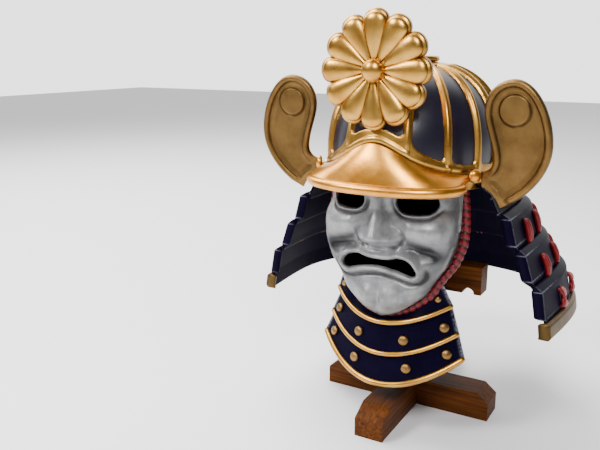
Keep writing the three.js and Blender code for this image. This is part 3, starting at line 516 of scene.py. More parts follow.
EAR_PIVOT = np.array([107, -74, 326])
EAR_OUTLINE = [(-3, 9), (5, 9), (11, 16), (10.5, 25), (9.5, 42), (-1.5, 62), (-1.5, 78), (-1.5, 98),
               (13, 112), (31, 112), (55, 112), (74, 74), (74, 42), (74, 12), (50, -18), (20, -31),
               (16, -22), (10, -14), (-3, -8)]
EAR_SPINE = [(14, -8), (32, 12), (36, 40), (31, 66), (29, 84)]
EAR_BOSS_AT = (32, 79)
EAR_BOSS_RADIUS = 17.8
EAR_RIM_WIDTH = 8.5
EAR_RIM_HEIGHT = 4.2
EAR_TURN = -4.5
EAR_LEAN = 4
EAR_PIN_AT = {"angle": 69, "z": 326}


def bezier_chain(points, count):
    """Points along joined cubic curves, each given by an end, two handles and the next end."""
    points = np.asarray(points, float)
    t = np.linspace(0, 1, count, endpoint=False)[:, None]
    parts = [(1 - t) ** 3 * a + 3 * (1 - t) ** 2 * t * b + 3 * (1 - t) * t * t * c + t ** 3 * d
             for a, b, c, d in (points[i:i + 4] for i in range(0, len(points) - 3, 3))]
    return np.concatenate(parts + [points[-1:]])


def evenly(path, count, closed=False):
    """The same path with evenly spaced points."""
    path = np.asarray(path, float)
    if closed:
        path = np.concatenate([path, path[:1]])
    run = np.concatenate([[0], np.cumsum(np.linalg.norm(np.diff(path, axis=0), axis=1))])
    at = np.linspace(0, run[-1], count, endpoint=not closed)
    return np.stack([np.interp(at, run, path[:, k]) for k in range(path.shape[1])], -1)


def nearest(points, path):
    """The distance from each point to a path of many points, and the number of the nearest one."""
    gap = np.linalg.norm(points[:, None, :] - path[None, :, :], axis=2)
    return gap.min(1), gap.argmin(1)


def ear_mesh(way):
    """An ear as one closed body: rings from its outline in to its spine, in front and behind."""
    outline = evenly(bezier_chain(EAR_OUTLINE, 40), 300, closed=True)
    spine = evenly(EAR_SPINE, 80)
    _, which = nearest(outline, spine)
    which = np.round(np.convolve(np.concatenate([which[-8:], which, which[:8]]), np.ones(17) / 17, "valid"))
    middle = spine[which.astype(int)]
    shares = np.concatenate([[0, 0.004, 0.012], np.linspace(0.025, 1, 52)])
    rings = np.array([outline * (1 - s) + middle * s for s in shares])
    flat = rings.reshape(-1, 2)
    rim, _ = nearest(flat, outline)
    boss = np.hypot(*(flat - EAR_BOSS_AT).T)
    ends = smooth(6, 22, np.hypot(flat[:, 0] + 2, flat[:, 1]))
    ends = ends * smooth(0, 14, flat[:, 1] + 0.9 * flat[:, 0] + 4)
    bead = EAR_RIM_HEIGHT * half_round((rim - EAR_RIM_WIDTH / 2) / (EAR_RIM_WIDTH / 2)) * ends
    dish = 1.2 * smooth(EAR_RIM_WIDTH, EAR_RIM_WIDTH + 7, rim)
    knob = 3.4 * smooth(EAR_BOSS_RADIUS + 0.6, EAR_BOSS_RADIUS - 2.6, boss)
    edge = half_round(1 - np.clip(rim / 1.6, 0, 1))
    front = 1.2 + 1.6 * edge + bead - dish + knob
    back = 1.2 * (1 - edge)
    # Painted shade: a dark ring round the boss, heavier below it, a soft groove inside the rim, and the back
    # half darkened.
    below_boss = 0.65 + 0.35 * (EAR_BOSS_AT[1] - flat[:, 1]) / EAR_BOSS_RADIUS
    hollow = 0.9 * below_boss * ridge(boss, EAR_BOSS_RADIUS + 0.4, 1.1) + 0.1 * smooth(6, 14, rim)
    hollow = hollow + 0.35 * ridge(rim, EAR_RIM_WIDTH + 0.2, 2.2) * ends
    points = [np.stack([flat[:, 0], -depth, flat[:, 1]], -1) for depth in (front, back)]
    rows, columns = rings.shape[:2]
    size = rows * columns
    faces = quads(rows, columns, True) + quads(rows, columns, True, size)
    faces += [(c, (c + 1) % columns, size + (c + 1) % columns, size + c) for c in range(columns)]
    mesh = mesh_of(np.concatenate(points), faces, merge=0.05,
                   hollow=np.concatenate([hollow, np.full(size, 0.5)]))
    mesh.transform(Matrix.Translation(Vector(EAR_PIVOT * [way, 1, 1]) * MM) @ Matrix.Scale(way, 4, (1, 0, 0))
                   @ Matrix.Rotation(math.radians(EAR_TURN), 4, "Z")
                   @ Matrix.Rotation(math.radians(EAR_LEAN), 4, "X"))
    if way < 0:
        mesh.flip_normals()
    return mesh


steel = new_material("bright_steel_pin", Base_Color=linear("#c4c8cc"), Metallic=1.0, Roughness=0.18)[0]
ear_gilt = gilt_material("dull_fire_gilding", "#785c34", "#5f4726", "#20170b", 0.42)
for side, way in SIDES:
    new_piece("ear_" + side, ear_mesh(way), ear_gilt)
    start = bowl_point(EAR_PIN_AT["angle"] * way, EAR_PIN_AT["z"] - BOWL_SPRING_Z, 3.4)
    end = EAR_PIVOT * [way, 1, 1] + [3 * way, 0.5, 0]
    length = float(np.linalg.norm(end - start))
    profile = [(0, 0), (4.4, 0), (4.4, length * 0.3), (3.2, length * 0.36), (3.2, length * 0.6)]
    profile += arc((0, length * 0.78), 4.5, -40, 60, 8) + [(0, length * 0.78 + 4.2)]
    new_piece("ear_pin_" + side, turned(profile, 40, facing(start, end - start)), steel)

# ---- Face mask --------------------------------------------------------------------------------
# The mask is hammered up from one iron plate: cheeks, wide nose, lips and lids are raised from the
# back. It is left silver-grey, rubbed bright on the high places, with painted shade in the creases,
# under the cheeks and darker towards the jaw.

MASK_TOP_Z = 312
MASK_WALL = 2.4
MASK_EDGE = np.array([(80, -60, 318), (82, -62, 306), (84.5, -64, 292), (86.2, -65, 277), (87, -65.5, 262),
                      (86, -66, 247), (83, -67, 235.5), (77, -68.5, 219.5), (69.5, -72.5, 208),
                      (62, -78, 196), (55, -82, 182.5), (44.5, -87, 173.5), (32.5, -91, 164),
                      (20.5, -94, 157.5), (9, -96, 153.5), (0, -96.5, 152)], float)
MASK_MIDDLE = [(152, -104), (154.5, -108.5), (158, -112.5), (166, -117), (176, -120), (188, -119.5),
               (200, -116.5), (212, -118), (226, -120.5), (240, -120), (255, -118), (275, -117), (288, -116),
               (300, -120), (324, -122)]
NOSE = [(242, 0), (247, 7), (251, 19), (257, 28), (266, 26), (278, 21), (291, 16), (303, 12.5), (318, 8)]
MASK_EDGE_FORWARD = 8.5
MASK_EDGE_OUT = -4
EYE = {"at_x": 43, "at_z": 297.5, "half_wide": 22.5, "half_tall": 11.5, "radius": 11}
EYE_DROOP = 2.2
RIM_NUDGE = 0.05
MOUTH = [(0, 220.5), (11, 220), (26, 217.5), (38, 212.5), (46, 210), (48, 216), (44.5, 222), (41, 229.5),
         (33, 231), (24, 232), (14, 228), (8, 228), (0, 228)]


def smooth_table(table, spread=4):
    """A table of (x, y) as a function that rounds its corners."""
    x, y = np.array(table, float).T
    fine = np.linspace(x[0] - 20, x[-1] + 20, 600)
    step = fine[1] - fine[0]
    line = np.interp(fine, x, y)
    kernel = np.exp(-(np.arange(-60, 61) * step / spread) ** 2)
    padded = np.pad(line, 60, mode="edge")
    soft = np.convolve(padded, kernel / kernel.sum(), "valid")
    return lambda at: np.interp(at, fine, soft)


def bump(x, z, at_x, at_z, wide, tall):
    return np.exp(-((x - at_x) / wide) ** 2 - ((z - at_z) / tall) ** 2)


def to_box(x, z, at_x, at_z, half_wide, half_tall, radius):
    """Distance outside a rounded box."""
    a = np.abs(x - at_x) - half_wide + radius
    b = np.abs(z - at_z) - half_tall + radius
    return np.hypot(np.maximum(a, 0), np.maximum(b, 0)) + np.minimum(np.maximum(a, b), 0) - radius


mouth_line = bezier_chain(MOUTH, 24)
mouth_line = np.concatenate([mouth_line, (mouth_line * [-1, 1])[::-1][1:-1]])
mouth_line = evenly(mouth_line, 260, closed=True)


def to_mouth(x, z):
    """Distance outside the mouth's outline, below zero inside it."""
    points = np.stack([np.ravel(x), np.ravel(z)], 1)
    gap, _ = nearest(points, mouth_line)
    a, b = mouth_line, np.roll(mouth_line, -1, 0)
    px, pz = points[:, :1], points[:, 1:]
    crossing = (a[:, 1] > pz) != (b[:, 1] > pz)
    at = a[:, 0] + (pz - a[:, 1]) * (b[:, 0] - a[:, 0]) / (b[:, 1] - a[:, 1] + 1e-9)
    inside = (crossing & (px < at)).sum(1) % 2 == 1
    return np.where(inside, -gap, gap).reshape(np.shape(x))


middle_of_face = smooth_table(MASK_MIDDLE)
nose_height = smooth_table(NOSE, 2.5)
edge_by_height = [MASK_EDGE[::-1, 2], MASK_EDGE[::-1, 0] + MASK_EDGE_OUT]
edge_depth = smooth_table([(z, y - MASK_EDGE_FORWARD) for _, y, z in MASK_EDGE[::-1]])
widest = edge_by_height[1].max()


def to_eye(side, z):
    """Distance outside an eye's outline, whose lower edge bows down in the middle."""
    lower_half = smooth(EYE["at_z"] + 6, EYE["at_z"] - 6, z)
    bow = EYE_DROOP * ((side - EYE["at_x"]) / EYE["half_wide"]) ** 2 * lower_half
    return to_box(side, z - np.minimum(bow, 2 * EYE_DROOP), **EYE)


def turned_in(gap, size):
    """How far a hole's edge rolls back into the face."""
    return size * (1 - half_round(1 - np.clip(gap / size, 0, 1)))


def face_relief(x, z):
    """How far the face stands forward of its smooth form, and how much painted shade it gets in
    creases, round the holes, under the cheeks and towards the jaw, outer sides and chin.
    """
    side = np.abs(x)
    eye = to_eye(side, z)
    lips = to_mouth(x, z)
    nose = nose_height(z) * np.exp(-(side / (13 - 7 * smooth(252, 290, z))) ** 2.6)
    nostrils = 13.0 * bump(side, z, 17, 256.5, 8.4, 7.5) + 2.0 * bump(side, z, 0, 259, 8, 7)
    crease = 3.2 * ridge(np.hypot(side - 16.5, z - 257), 13, 2.2) * smooth(6, 18, side) * smooth(272, 260, z)
    cheek = 7.0 * ridge(z + 0.1 * (side - 30), 269, 12) * smooth(20, 40, side) * smooth(88, 62, side)
    under = 9.5 * ridge(z + 0.16 * (side - 26), 245, 9.5) * smooth(22, 36, side) * smooth(84, 60, side)
    fold = 1.6 * ridge(side, 30 + (250 - z) * 0.72, 5) * smooth(256, 244, z) * smooth(206, 218, z)
    ring = 5.6 * ridge(lips, 4.0, 3.8)
    groove = 3.8 * ridge(lips, 11.5, 3.2) * smooth(226, 212, z)
    below_eye = smooth(301, 288, z + 0.16 * (side - 43))
    lid = 3.0 * ridge(eye, 2.2, 2.0) * below_eye
    lid_groove = 3.0 * ridge(eye, 6.2, 1.7) * below_eye
    chin = 5.2 * bump(side, z, 13, 180, 12, 13) - 2.4 * bump(side, z, 0, 176, 4, 14)
    relief = nose + nostrils - crease + cheek - under + fold + ring - groove + lid - lid_groove + chin
    relief = relief - turned_in(eye, 2.2) - turned_in(lips, 2.6)
    # Painted shade in the creases, lid grooves and under the cheeks, at the mouth and eye corners and round
    # the holes; darker towards the jaw, outer sides and chin.
    painted_shade = 0.22 * crease + 0.2 * groove + 0.22 * lid_groove + 0.085 * under
    painted_shade += 0.3 * bump(side, z, 47, 214, 7, 8) + 0.35 * bump(side, z, 19, 292, 6, 14)
    painted_shade += 0.4 * smooth(2.5, 0.3, np.minimum(eye, lips))
    jowl = smooth(262, 236, z) * smooth(34, 62, side) * smooth(2, 12, lips)
    return relief, painted_shade + 0.15 * smooth(60, 82, side) + 0.5 * jowl + 0.2 * smooth(200, 160, z)


def face_skin(x, z):
    """Points of the mask's outer face, and how much painted shade each one gets."""
    edge = np.interp(z, *edge_by_height)
    beside = np.clip(np.abs(x) / np.maximum(edge, 1), 0, 1)
    squareness = 2.2 + 1.8 * smooth(165, 240, z) - 1.7 * smooth(270, 291, z)
    bulge = (1 - beside ** squareness) ** (1 / squareness)
    y = edge_depth(z) * (1 - bulge) + middle_of_face(z) * bulge
    relief, painted_shade = face_relief(x, z)
    return np.stack([x, y - relief * (1 - beside ** 6), z], -1), painted_shade


def iron_material():
    """Hammered iron with a grey patina. Bright rubbed patches, and painted shade in the creases and hollows,
    show its relief.
    """
    material, tree, shader, place = new_material("patinated_iron", Metallic=0.3)
    clouds = add(tree, "TexNoise", Vector=place, Scale=per_grain(14), Detail=6, Roughness=0.6)
    mottled = add(tree, "MapRange", i0=clouds, i1=0.35, i2=0.65)
    body = add(tree, "Mix", COLOURS, MIXED, i0=mottled, i6=linear("#707172"), i7=linear("#939494"))
    # The hollow attribute is painted shade, mixed towards near-black.
    painted_shade = add(tree, "Attribute", {"attribute_name": "hollow"}, "Fac")
    hammered = add(tree, "TexNoise", Vector=place, Scale=per_grain(3.2), **PLAIN)
    feed(shader, Base_Color=add(tree, "Mix", COLOURS, MIXED, i0=painted_shade, i6=body, i7=linear("#121315")),
         Roughness=add(tree, "MapRange", i0=clouds, i3=0.28, i4=0.44),
         Normal=add(tree, "Bump", Height=hammered, Distance=0.18 * MM))
    return material


def to_holes(x, z):
    return np.minimum(to_eye(np.abs(x), z), to_mouth(x, z))


down = np.linspace(0, 1, 170)[:, None]
jaw_x, jaw_z = MASK_EDGE[4:, 0][::-1] + MASK_EDGE_OUT, MASK_EDGE[4:, 2][::-1]
column_x = widest * np.sin(np.linspace(-1, 1, 190) * np.pi / 2)
foot_z = np.interp(np.abs(column_x), np.maximum(jaw_x, 0), jaw_z)
x = np.repeat(column_x[None, :], len(down), 0)
z = MASK_TOP_Z + (foot_z - MASK_TOP_Z) * down ** 0.95
holes = to_holes(x, z).ravel()
faces = [f for f in quads(*x.shape) if holes[list(f)].mean() > 0]
uses = np.bincount(np.ravel(faces), minlength=x.size)
rim = (uses > 0) & (uses < 4) & (np.abs(holes) < 2.5)
# Points round the eyes and mouth are drawn onto their outlines.
for _ in range(3):
    gap = to_holes(x, z)
    slope_x = (to_holes(x + RIM_NUDGE, z) - gap) / RIM_NUDGE
    slope_z = (to_holes(x, z + RIM_NUDGE) - gap) / RIM_NUDGE
    pull = np.where(rim.reshape(x.shape), gap, 0)
    x, z = x - pull * slope_x, z - pull * slope_z
skin, painted_shade = face_skin(x, z)
mesh = mesh_of(skin, faces, hollow=painted_shade)
if min(mesh.polygons, key=lambda face: face.center.y).normal.y > 0:
    mesh.flip_normals()
mask = new_piece("mask", mesh, iron_material())
thickness = mask.modifiers.new("thickness", "SOLIDIFY")
thickness.thickness = MASK_WALL * MM

# ---- Mask cord --------------------------------------------------------------------------------
# A thick silk cord binds the mask's edge. Its strands are braided over a core, so that it shows as
# a stack of chevrons, with painted shade between them, and pale where the silk catches the light.

CORD_RADIUS = 5.7
CORD_PITCH = 8.6
CORD_SIDES = 28


def across_path(path):
    """Two directions across a path at each point, carried along it without twist."""
    tangents = np.gradient(path, axis=0)
    tangents /= np.linalg.norm(tangents, axis=1)[:, None]
    across = np.cross(tangents[0], [0, 0.3, 1.0])
    rights, ups = [], []
    for tangent in tangents:
        across = across - tangent * across.dot(tangent)
        across /= np.linalg.norm(across)
        rights.append(across.copy())
        ups.append(np.cross(tangent, across))
    return np.array(rights), np.array(ups)


def smooth_path(points, count):
    """An evenly spaced smooth curve through a few points."""
    points = np.asarray(points, float)
    ends = np.concatenate([[2 * points[0] - points[1]], points, [2 * points[-1] - points[-2]]])
    t = np.linspace(0, 1, 24, endpoint=False)[:, None]
    parts = [b + 0.5 * ((c - a) * t + (2 * a - 5 * b + 4 * c - d) * t ** 2
                        + (3 * b - a - 3 * c + d) * t ** 3)
             for a, b, c, d in (ends[i:i + 4] for i in range(len(points) - 1))]
    return evenly(np.concatenate(parts + [points[-1:]]), count)


def tube(path, radius, sides):
    """Points and faces of a capped tube. radius is a number, or one for each point and side."""
    rights, ups = across_path(path)
    turn = np.linspace(0, 2 * np.pi, sides, endpoint=False)
    spread = np.broadcast_to(radius, (len(path), sides))[..., None]
    rings = path[:, None] + spread * (np.cos(turn)[None, :, None] * rights[:, None]
                                      + np.sin(turn)[None, :, None] * ups[:, None])
    points = np.concatenate([rings.reshape(-1, 3), path[:1], path[-1:]])
    faces = quads(len(path), sides, ring=True)
    last = len(path) * sides
    for c in range(sides):
        faces.append((c, (c + 1) % sides, last))
        faces.append((last - sides + c, last - sides + (c + 1) % sides, last + 1))
    return points, faces


def silk_material(name, thread, shade, glow):
    """Dyed silk cord. Fine threads across it and a soft sheen keep the red deep but lively."""
    material, tree, shader, place = new_material(
        name, Roughness=0.42, Specular_IOR_Level=0.35, Sheen_Weight=0.04, Sheen_Roughness=0.35,
        Sheen_Tint=linear(glow))
    clouds = add(tree, "TexNoise", Vector=place, Scale=per_grain(5), **SOFT)
    body = add(tree, "Mix", COLOURS, MIXED, i0=clouds, i6=linear(thread), i7=linear(shade))
    # The hollow attribute paints shade, mixed towards a near-black red.
    low = add(tree, "Attribute", {"attribute_name": "hollow"}, "Fac")
    threads = add(tree, "TexNoise", Vector=place, Scale=per_grain(0.9), **PLAIN)
    feed(shader, Base_Color=add(tree, "Mix", COLOURS, MIXED, i0=low, i6=body, i7=linear("#2b0508")),
         Normal=add(tree, "Bump", Height=threads, Distance=0.25 * MM))
    return material


dark_silk = silk_material("madder_red_silk", "#7c0b15", "#560710", "#ff9090")
path = smooth_path(np.concatenate([MASK_EDGE, MASK_EDGE[-2::-1] * [-1, 1, 1]]), 900)
run = np.concatenate([[0], np.cumsum(np.linalg.norm(np.diff(path, axis=0), axis=1))])[:, None]
turn = np.linspace(0, 2 * np.pi, CORD_SIDES, endpoint=False)[None, :]
chevron = np.abs(((turn - np.pi * 1.25) / np.pi) % 2 - 1)
crown = np.abs(np.sin(np.pi * (np.abs(run - run[-1] / 2) / CORD_PITCH + 0.5 * chevron))) ** 0.65
points, faces = tube(path, CORD_RADIUS * (0.8 + 0.2 * crown), CORD_SIDES)
# The hollow attribute paints shade into the grooves between the chevrons.
new_piece("mask_cord", mesh_of(points, faces, hollow=np.append(1.5 * (1 - crown.ravel()), [0, 0])),
          dark_silk)

# ---- Throat guard -----------------------------------------------------------------------------
# Three lacquered iron lames hang from the mask's jaw, each with a half-round gilt rim along its
# foot and gilt dome rivets.

THROAT = [
    dict(top=None, rim=(76.8, -111, -67, 146.5, 167), rim_radius=3.2,
         studs=(0.885,), stud_radius=4.5, at=0.42),
    dict(top=(74, -105.5, -61, 145, 166), rim=(86, -113, -66, 106.5, 132.5), rim_radius=3.2,
         studs=(0.36, 0.86), stud_radius=6.5, at=0.6),
    dict(top=(83, -107, -61, 112, 136), rim=(95, -115, -68, 67, 103), rim_radius=4,
         studs=(0.38, 0.84), stud_radius=6.5, at=0.6),
]
THROAT_TOP_HALF_WIDTH = 64
THROAT_WALL = 2
brushed_lacquer = lacquer_material("brushed_black_urushi", 0.02, 0.0, 0.45)
stud_gilt = gilt_material("worn_rivet_gilding", "#94754a", "#7a5c34", "#2c2010", 0.42)


def throat_edge(edge, t, out=0.0):
    half_width, middle_y, end_y, middle_z, end_z = edge
    slope = 2 * (end_y - middle_y) * t / half_width
    length = np.hypot(1, slope)
    return np.stack([half_width * t + out * slope / length,
                     middle_y + (end_y - middle_y) * t * t - out / length,
                     middle_z + (end_z - middle_z) * t * t], -1)


def throat_plate(lame, v, t, out=0.0):
    """Points of a lame's plate. v is 0 at its top and 1 at the rim, t is -1 to 1 across."""
    if lame["top"]:
        upper = throat_edge(lame["top"], t, out)
    else:
        x = THROAT_TOP_HALF_WIDTH * t
        upper = np.stack([x, np.interp(np.abs(x), MASK_EDGE[::-1, 0], MASK_EDGE[::-1, 1]) - out,
                          np.interp(np.abs(x), MASK_EDGE[::-1, 0], MASK_EDGE[::-1, 2])], -1)
    lower = throat_edge(lame["rim"], t, out) + [0, 0, lame["rim_radius"] * 0.4]
    return upper + (lower - upper) * v[..., None]


for tier, lame in enumerate(THROAT, 1):
    t, v = np.meshgrid(np.linspace(-1, 1, 90), np.linspace(0.03 if tier > 1 else 0.12, 1, 24))
    plate = wall(throat_plate(lame, v, t), throat_plate(lame, v, t, -THROAT_WALL))
    worn = np.tile(smooth(0.965, 1, np.abs(t)).ravel(), 2)
    new_piece("throat_plate_%d" % tier, mesh_of(*plate, wear=worn), brushed_lacquer)
    path = throat_edge(lame["rim"], np.linspace(-1, 1, 140))
    ends = np.minimum(1, 0.55 + 0.45 * np.sqrt(np.clip(np.linspace(0, 70, 140), 0, 1)))
    rim = tube(path, lame["rim_radius"] * np.minimum(ends, ends[::-1])[:, None], 24)
    new_piece("throat_rim_%d" % tier, mesh_of(*rim), gilt)
    for share in lame["studs"]:
        for side, way in SIDES:
            here, beside, over = (throat_plate(lame, np.array(v), np.array(t)) for v, t in
                                  ((lame["at"], way * share), (lame["at"], way * share + 0.01),
                                   (lame["at"] - 0.01, way * share)))
            out = np.cross(beside - here, over - here)
            out /= np.linalg.norm(out)
            name = "throat_stud_%d_%s_%s" % (tier, "outer" if share > 0.5 else "inner", side)
            new_piece(name, dome_rivet(lame["stud_radius"], 4.0, 0.8, 40, here + out, out), stud_gilt)

# ---- Neck guard -------------------------------------------------------------------------------
# Four lacquered lames hang from the bowl, each stepped out over the one above. Their front edges
# are turned in, and the lacquer has worn grey along the shoulders. A gilt strip trims the foot.

NECK = [
    [(108.5, 318, -66, 0), (115, 303, -66, 0), (123.6, 285.5, -66, 0), (127, 277, -60, 0)],
    [(128, 286, -66, 0), (137.5, 280.5, -66, 12), (145.5, 250, -66, 12), (148, 240, -60, 0)],
    [(149.3, 246.5, -66, 0), (157, 240.5, -66, 12), (166.3, 211, -66, 12), (168.3, 201, -60, 0)],
    [(169.8, 206.5, -66, 0), (178.5, 200.5, -66, 12), (184, 168, -66, 12), (184, 166, -61, 0),
     (183, 146, -61, 0)],
]
TRIM = [(186.4, 165.6, -66, 0), (190.5, 162.5, -66, 14), (192.5, 148, -66, 14), (190, 144.5, -66, 12)]
TRIM_INSIDE = [(185.6, 165), (185.6, 161), (185.2, 148), (185.2, 145.5)]
EDGE_FOLD = 3.2
NECK_WALL = 2.5
NECK_TOP = (108, BOWL_AXIS_Y, 106)
NECK_LOW = (188, 20, 196)
NECK_SQUARENESS = 2.5
NECK_FLARE = 8
NECK_FLARE_RUN = (-66, 140)
BOWL_JOINT_SWEEP = 120
JOINT_ROWS = 4
JOINT_PROUD = 4.2


def neck_share(half_width):
    return (half_width - NECK_TOP[0]) / (NECK_LOW[0] - NECK_TOP[0])


def neck_middle(half_width):
    return NECK_TOP[1] + (NECK_LOW[1] - NECK_TOP[1]) * neck_share(half_width)


def half_run(half_width, front_y):
    return 1.6 * half_width + neck_middle(half_width) - front_y


def neck_plan(half_width, front_y, t, out=0.0):
    """Points of the U-shaped plan. t is 0 at the middle of the back and 1 at the right front."""
    run = np.abs(t) * half_run(half_width, front_y)
    middle = neck_middle(half_width)
    a = np.minimum(run / (1.6 * half_width), 1) * np.pi / 2
    power = 2 / NECK_SQUARENESS
    back = NECK_TOP[2] + (NECK_LOW[2] - NECK_TOP[2]) * neck_share(half_width) - middle + out
    y = middle + back * np.cos(a) ** power - np.maximum(run - 1.6 * half_width, 0)
    low, high = NECK_FLARE_RUN
    flare = NECK_FLARE * neck_share(half_width) ** 2 * np.sin(np.pi * np.clip((y - low) / (high - low), 0, 1))
    return np.stack([np.sign(t) * ((half_width + out) * np.sin(a) ** power + flare), y], -1)


def round_corners(section, radius, count=6):
    """A lame's section with its corners as small arcs, and how worn each point is."""
    section = np.asarray(section, float)
    rows, worn = [section[0]], [0.0]
    for before, corner, after in zip(section, section[1:], section[2:]):
        legs = [before - corner, after - corner]
        reach = [min(radius, 0.45 * math.hypot(leg[0], leg[1])) / math.hypot(leg[0], leg[1]) for leg in legs]
        a, b = corner + legs[0] * reach[0], corner + legs[1] * reach[1]
        for s in np.linspace(0, 1, count):
            rows.append((1 - s) ** 2 * a + 2 * s * (1 - s) * corner + s * s * b)
            worn.append(math.sin(math.pi * s))
    return np.array(rows + [section[-1]]), np.array(worn + [0.0])


def filled(section, worn, step=2.5):
    """The section with more points along its straight stretches."""
    rows, wear = [section[0]], [worn[0]]
    for a, b, wa, wb in zip(section, section[1:], worn, worn[1:]):
        count = max(1, int(math.hypot(b[0] - a[0], b[1] - a[1]) / step))
        for k in range(1, count + 1):
            rows.append(a + (b - a) * k / count)
            wear.append(wa + (wb - wa) * k / count)
    return np.array(rows), np.array(wear)


def section_normals(section):
    slope = np.gradient(section[:, :2], axis=0)
    slope /= np.linalg.norm(slope, axis=1)[:, None]
    return np.stack([-slope[:, 1], slope[:, 0]], -1)


def neck_grid(section, t, out, normals, joint=False):
    """Points of a lame's face, a row for each row of its section. At a joint the first rows follow
    the bowl's own plan."""
    rows = []
    for i, ((half_width, z, front_y, _), (across, up)) in enumerate(zip(section, normals)):
        points = neck_plan(half_width, front_y, t, across * out)
        if joint and i < JOINT_ROWS:
            turn = np.sign(t + 1e-9) * (180 - BOWL_JOINT_SWEEP * np.abs(t))
            bowl = bowl_point(turn, np.full_like(t, z - BOWL_SPRING_Z), JOINT_PROUD + NECK_WALL + out)
            share = 1 - i / JOINT_ROWS
            points = points * (1 - share) + bowl[:, :2] * share
        rows.append(np.column_stack([points, np.full(len(t), z + up * out)]))
    return np.array(rows)


def neck_lame(section, radius, inside=None, joint=False):
    """A lame as a closed wall, with its front edges turned in. inside is a section of its own for
    the back of a thick strip."""
    rows, worn = filled(*round_corners(section, radius))
    normals = section_normals(rows)
    fold = EDGE_FOLD / half_run(section[1][0], section[1][2])
    side = np.linspace(1 - 3 * fold, 1, 13)
    t = np.concatenate([-side[::-1], np.linspace(-1 + 3.4 * fold, 1 - 3.4 * fold, 150), side])
    outer = neck_grid(rows, t, 0.0, normals, joint)
    if inside is None:
        inner = neck_grid(rows, t, -NECK_WALL, normals, joint)
    else:
        along = np.linspace(0, 1, len(rows)), np.linspace(0, 1, len(inside))
        half_width, z = (np.interp(*along, [point[k] for point in inside]) for k in (0, 1))
        inner = neck_grid(np.column_stack([half_width, z, rows[:, 2:]]), t, 0.0, np.zeros((len(rows), 2)))
    deep = rows[:, 3] > 1
    for k in np.nonzero(np.abs(t) >= 1 - fold)[0]:
        turned_back = np.array([neck_plan(w, y, t[k:k + 1], -d)[0] for w, z, y, d in rows])
        inner[deep, k, :2] = turned_back[deep]
        inner[deep, k, 2] = rows[deep, 1]
    shoulder = 0.8 * worn[:, None] ** 8 * smooth(0.78, 0.99, np.abs(t))
    corner = 0.2 * smooth(1 - 1.6 * fold, 1 - fold, np.abs(t)) * smooth(1, 1 - 0.8 * fold, np.abs(t))
    wear = np.maximum(shoulder, corner).ravel()
    return mesh_of(*wall(outer, inner), wear=np.append(wear, np.zeros(wear.size)))


for number, section in enumerate(NECK, 1):
    new_piece("neck_lame_%d" % number, neck_lame(section, 2.2, joint=number == 1), brushed_lacquer)
trim_gilt = gilt_material("worn_trim_gilding", "#5f4a2b", "#4b3a20", "#20170b", 0.46)
new_piece("neck_trim", neck_lame(TRIM, 1.6, inside=TRIM_INSIDE), trim_gilt)

# ---- Lacing -----------------------------------------------------------------------------------
# Silk cord is laced down each column through holes in the lames: a doubled loop on every lame, and
# a crossed knot with its ends out on the lowest.

LACED_COLUMNS = 12
LACED_TO = 0.825
LACE_RADIUS = 3.4
KNOT_RADIUS = 2.3
END_RADIUS = 2.2
LOOPS = [(0, 303.5, 289), (1, 270, 243), (2, 228, 201)]
KNOT = (3, 191, 164)
bright_silk = silk_material("crimson_silk_lacing", "#8c0910", "#5c060b", "#ffb0b0")
silk_ends = silk_material("faded_silk_ends", "#c88484", "#a05058", "#ffe0e0")


def on_lame(number, t, z, out):
    """A point out millimetres proud of a lame's face at a height, for arrays of t and z."""
    section = np.array(NECK[number][:3])
    rows = section[1:3] if number else section[:3]
    order = np.argsort(rows[:, 1])
    half_width = np.interp(z, rows[order, 1], rows[order, 0])
    points = np.array([neck_plan(w, -66, np.array([tt]), oo)[0] for w, tt, oo in zip(half_width, t, out)])
    return np.column_stack([points, z])


def lace(number, t, aside, z, out, radius):
    """A strand on a lame, from offsets in millimetres beside the column, heights, and how far out."""
    section = NECK[number]
    points = on_lame(number, t + np.asarray(aside) / half_run(section[1][0], -66), z, out)
    ends = np.sin(np.linspace(0, np.pi, 40))[:, None] ** 0.3
    return tube(smooth_path(points, 40), radius * (0.25 + 0.75 * ends), 12)


for column, t in enumerate(np.linspace(-LACED_TO, LACED_TO, LACED_COLUMNS), 1):
    strands = []
    for number, high, low in LOOPS:
        middle = (high + low) / 2
        for way in (-1, 1):
            strands.append(lace(number, t, [1.2 * way, 3.0 * way, 3.3 * way, 3.3 * way, 3.1 * way, 2.2 * way],
                                [high + 2, high - 1.5, high - 7, middle, low + 3, low - 1],
                                [0.6, 3.0, 3.6, 3.5, 3.0, 0.4], LACE_RADIUS))
    number, high, low = KNOT
    middle = (high + low) / 2
    for way in (-1, 1):
        strands.append(lace(number, t, [4.5 * way, 3.4 * way, 0.4 * way, -3.4 * way, -4.2 * way],
                            [high - 1, high - 5, middle, low + 6, low + 1],
                            [-1.0, 2.6, 3.6 + way, 2.6, -1.0], KNOT_RADIUS))
    for turn_up in (1, -1):
        strands.append(lace(number, t, [-1.6, -2.2, -2.6, -2.4],
                            middle + np.array([1.5, 5, 9, 12.5]) * turn_up,
                            [3.2, 5.2, 4.6, 2.0], END_RADIUS))
    mesh = mesh_of(*merged(strands))
    new_piece("lacing_%d" % column, mesh, bright_silk)
    mesh.materials.append(silk_ends)
    pale = sum(len(faces) for _, faces in strands[:-2])
    for polygon in list(mesh.polygons)[pale:]:
        polygon.material_index = 1

# ---- Stand ------------------------------------------------------------------------------------
# The stand is plain oiled hardwood: a halved cross for a foot, a square post, a crossbar screwed
# behind it, and a turned rest for the bowl. Its stain is dark and has rubbed orange on the arrises.


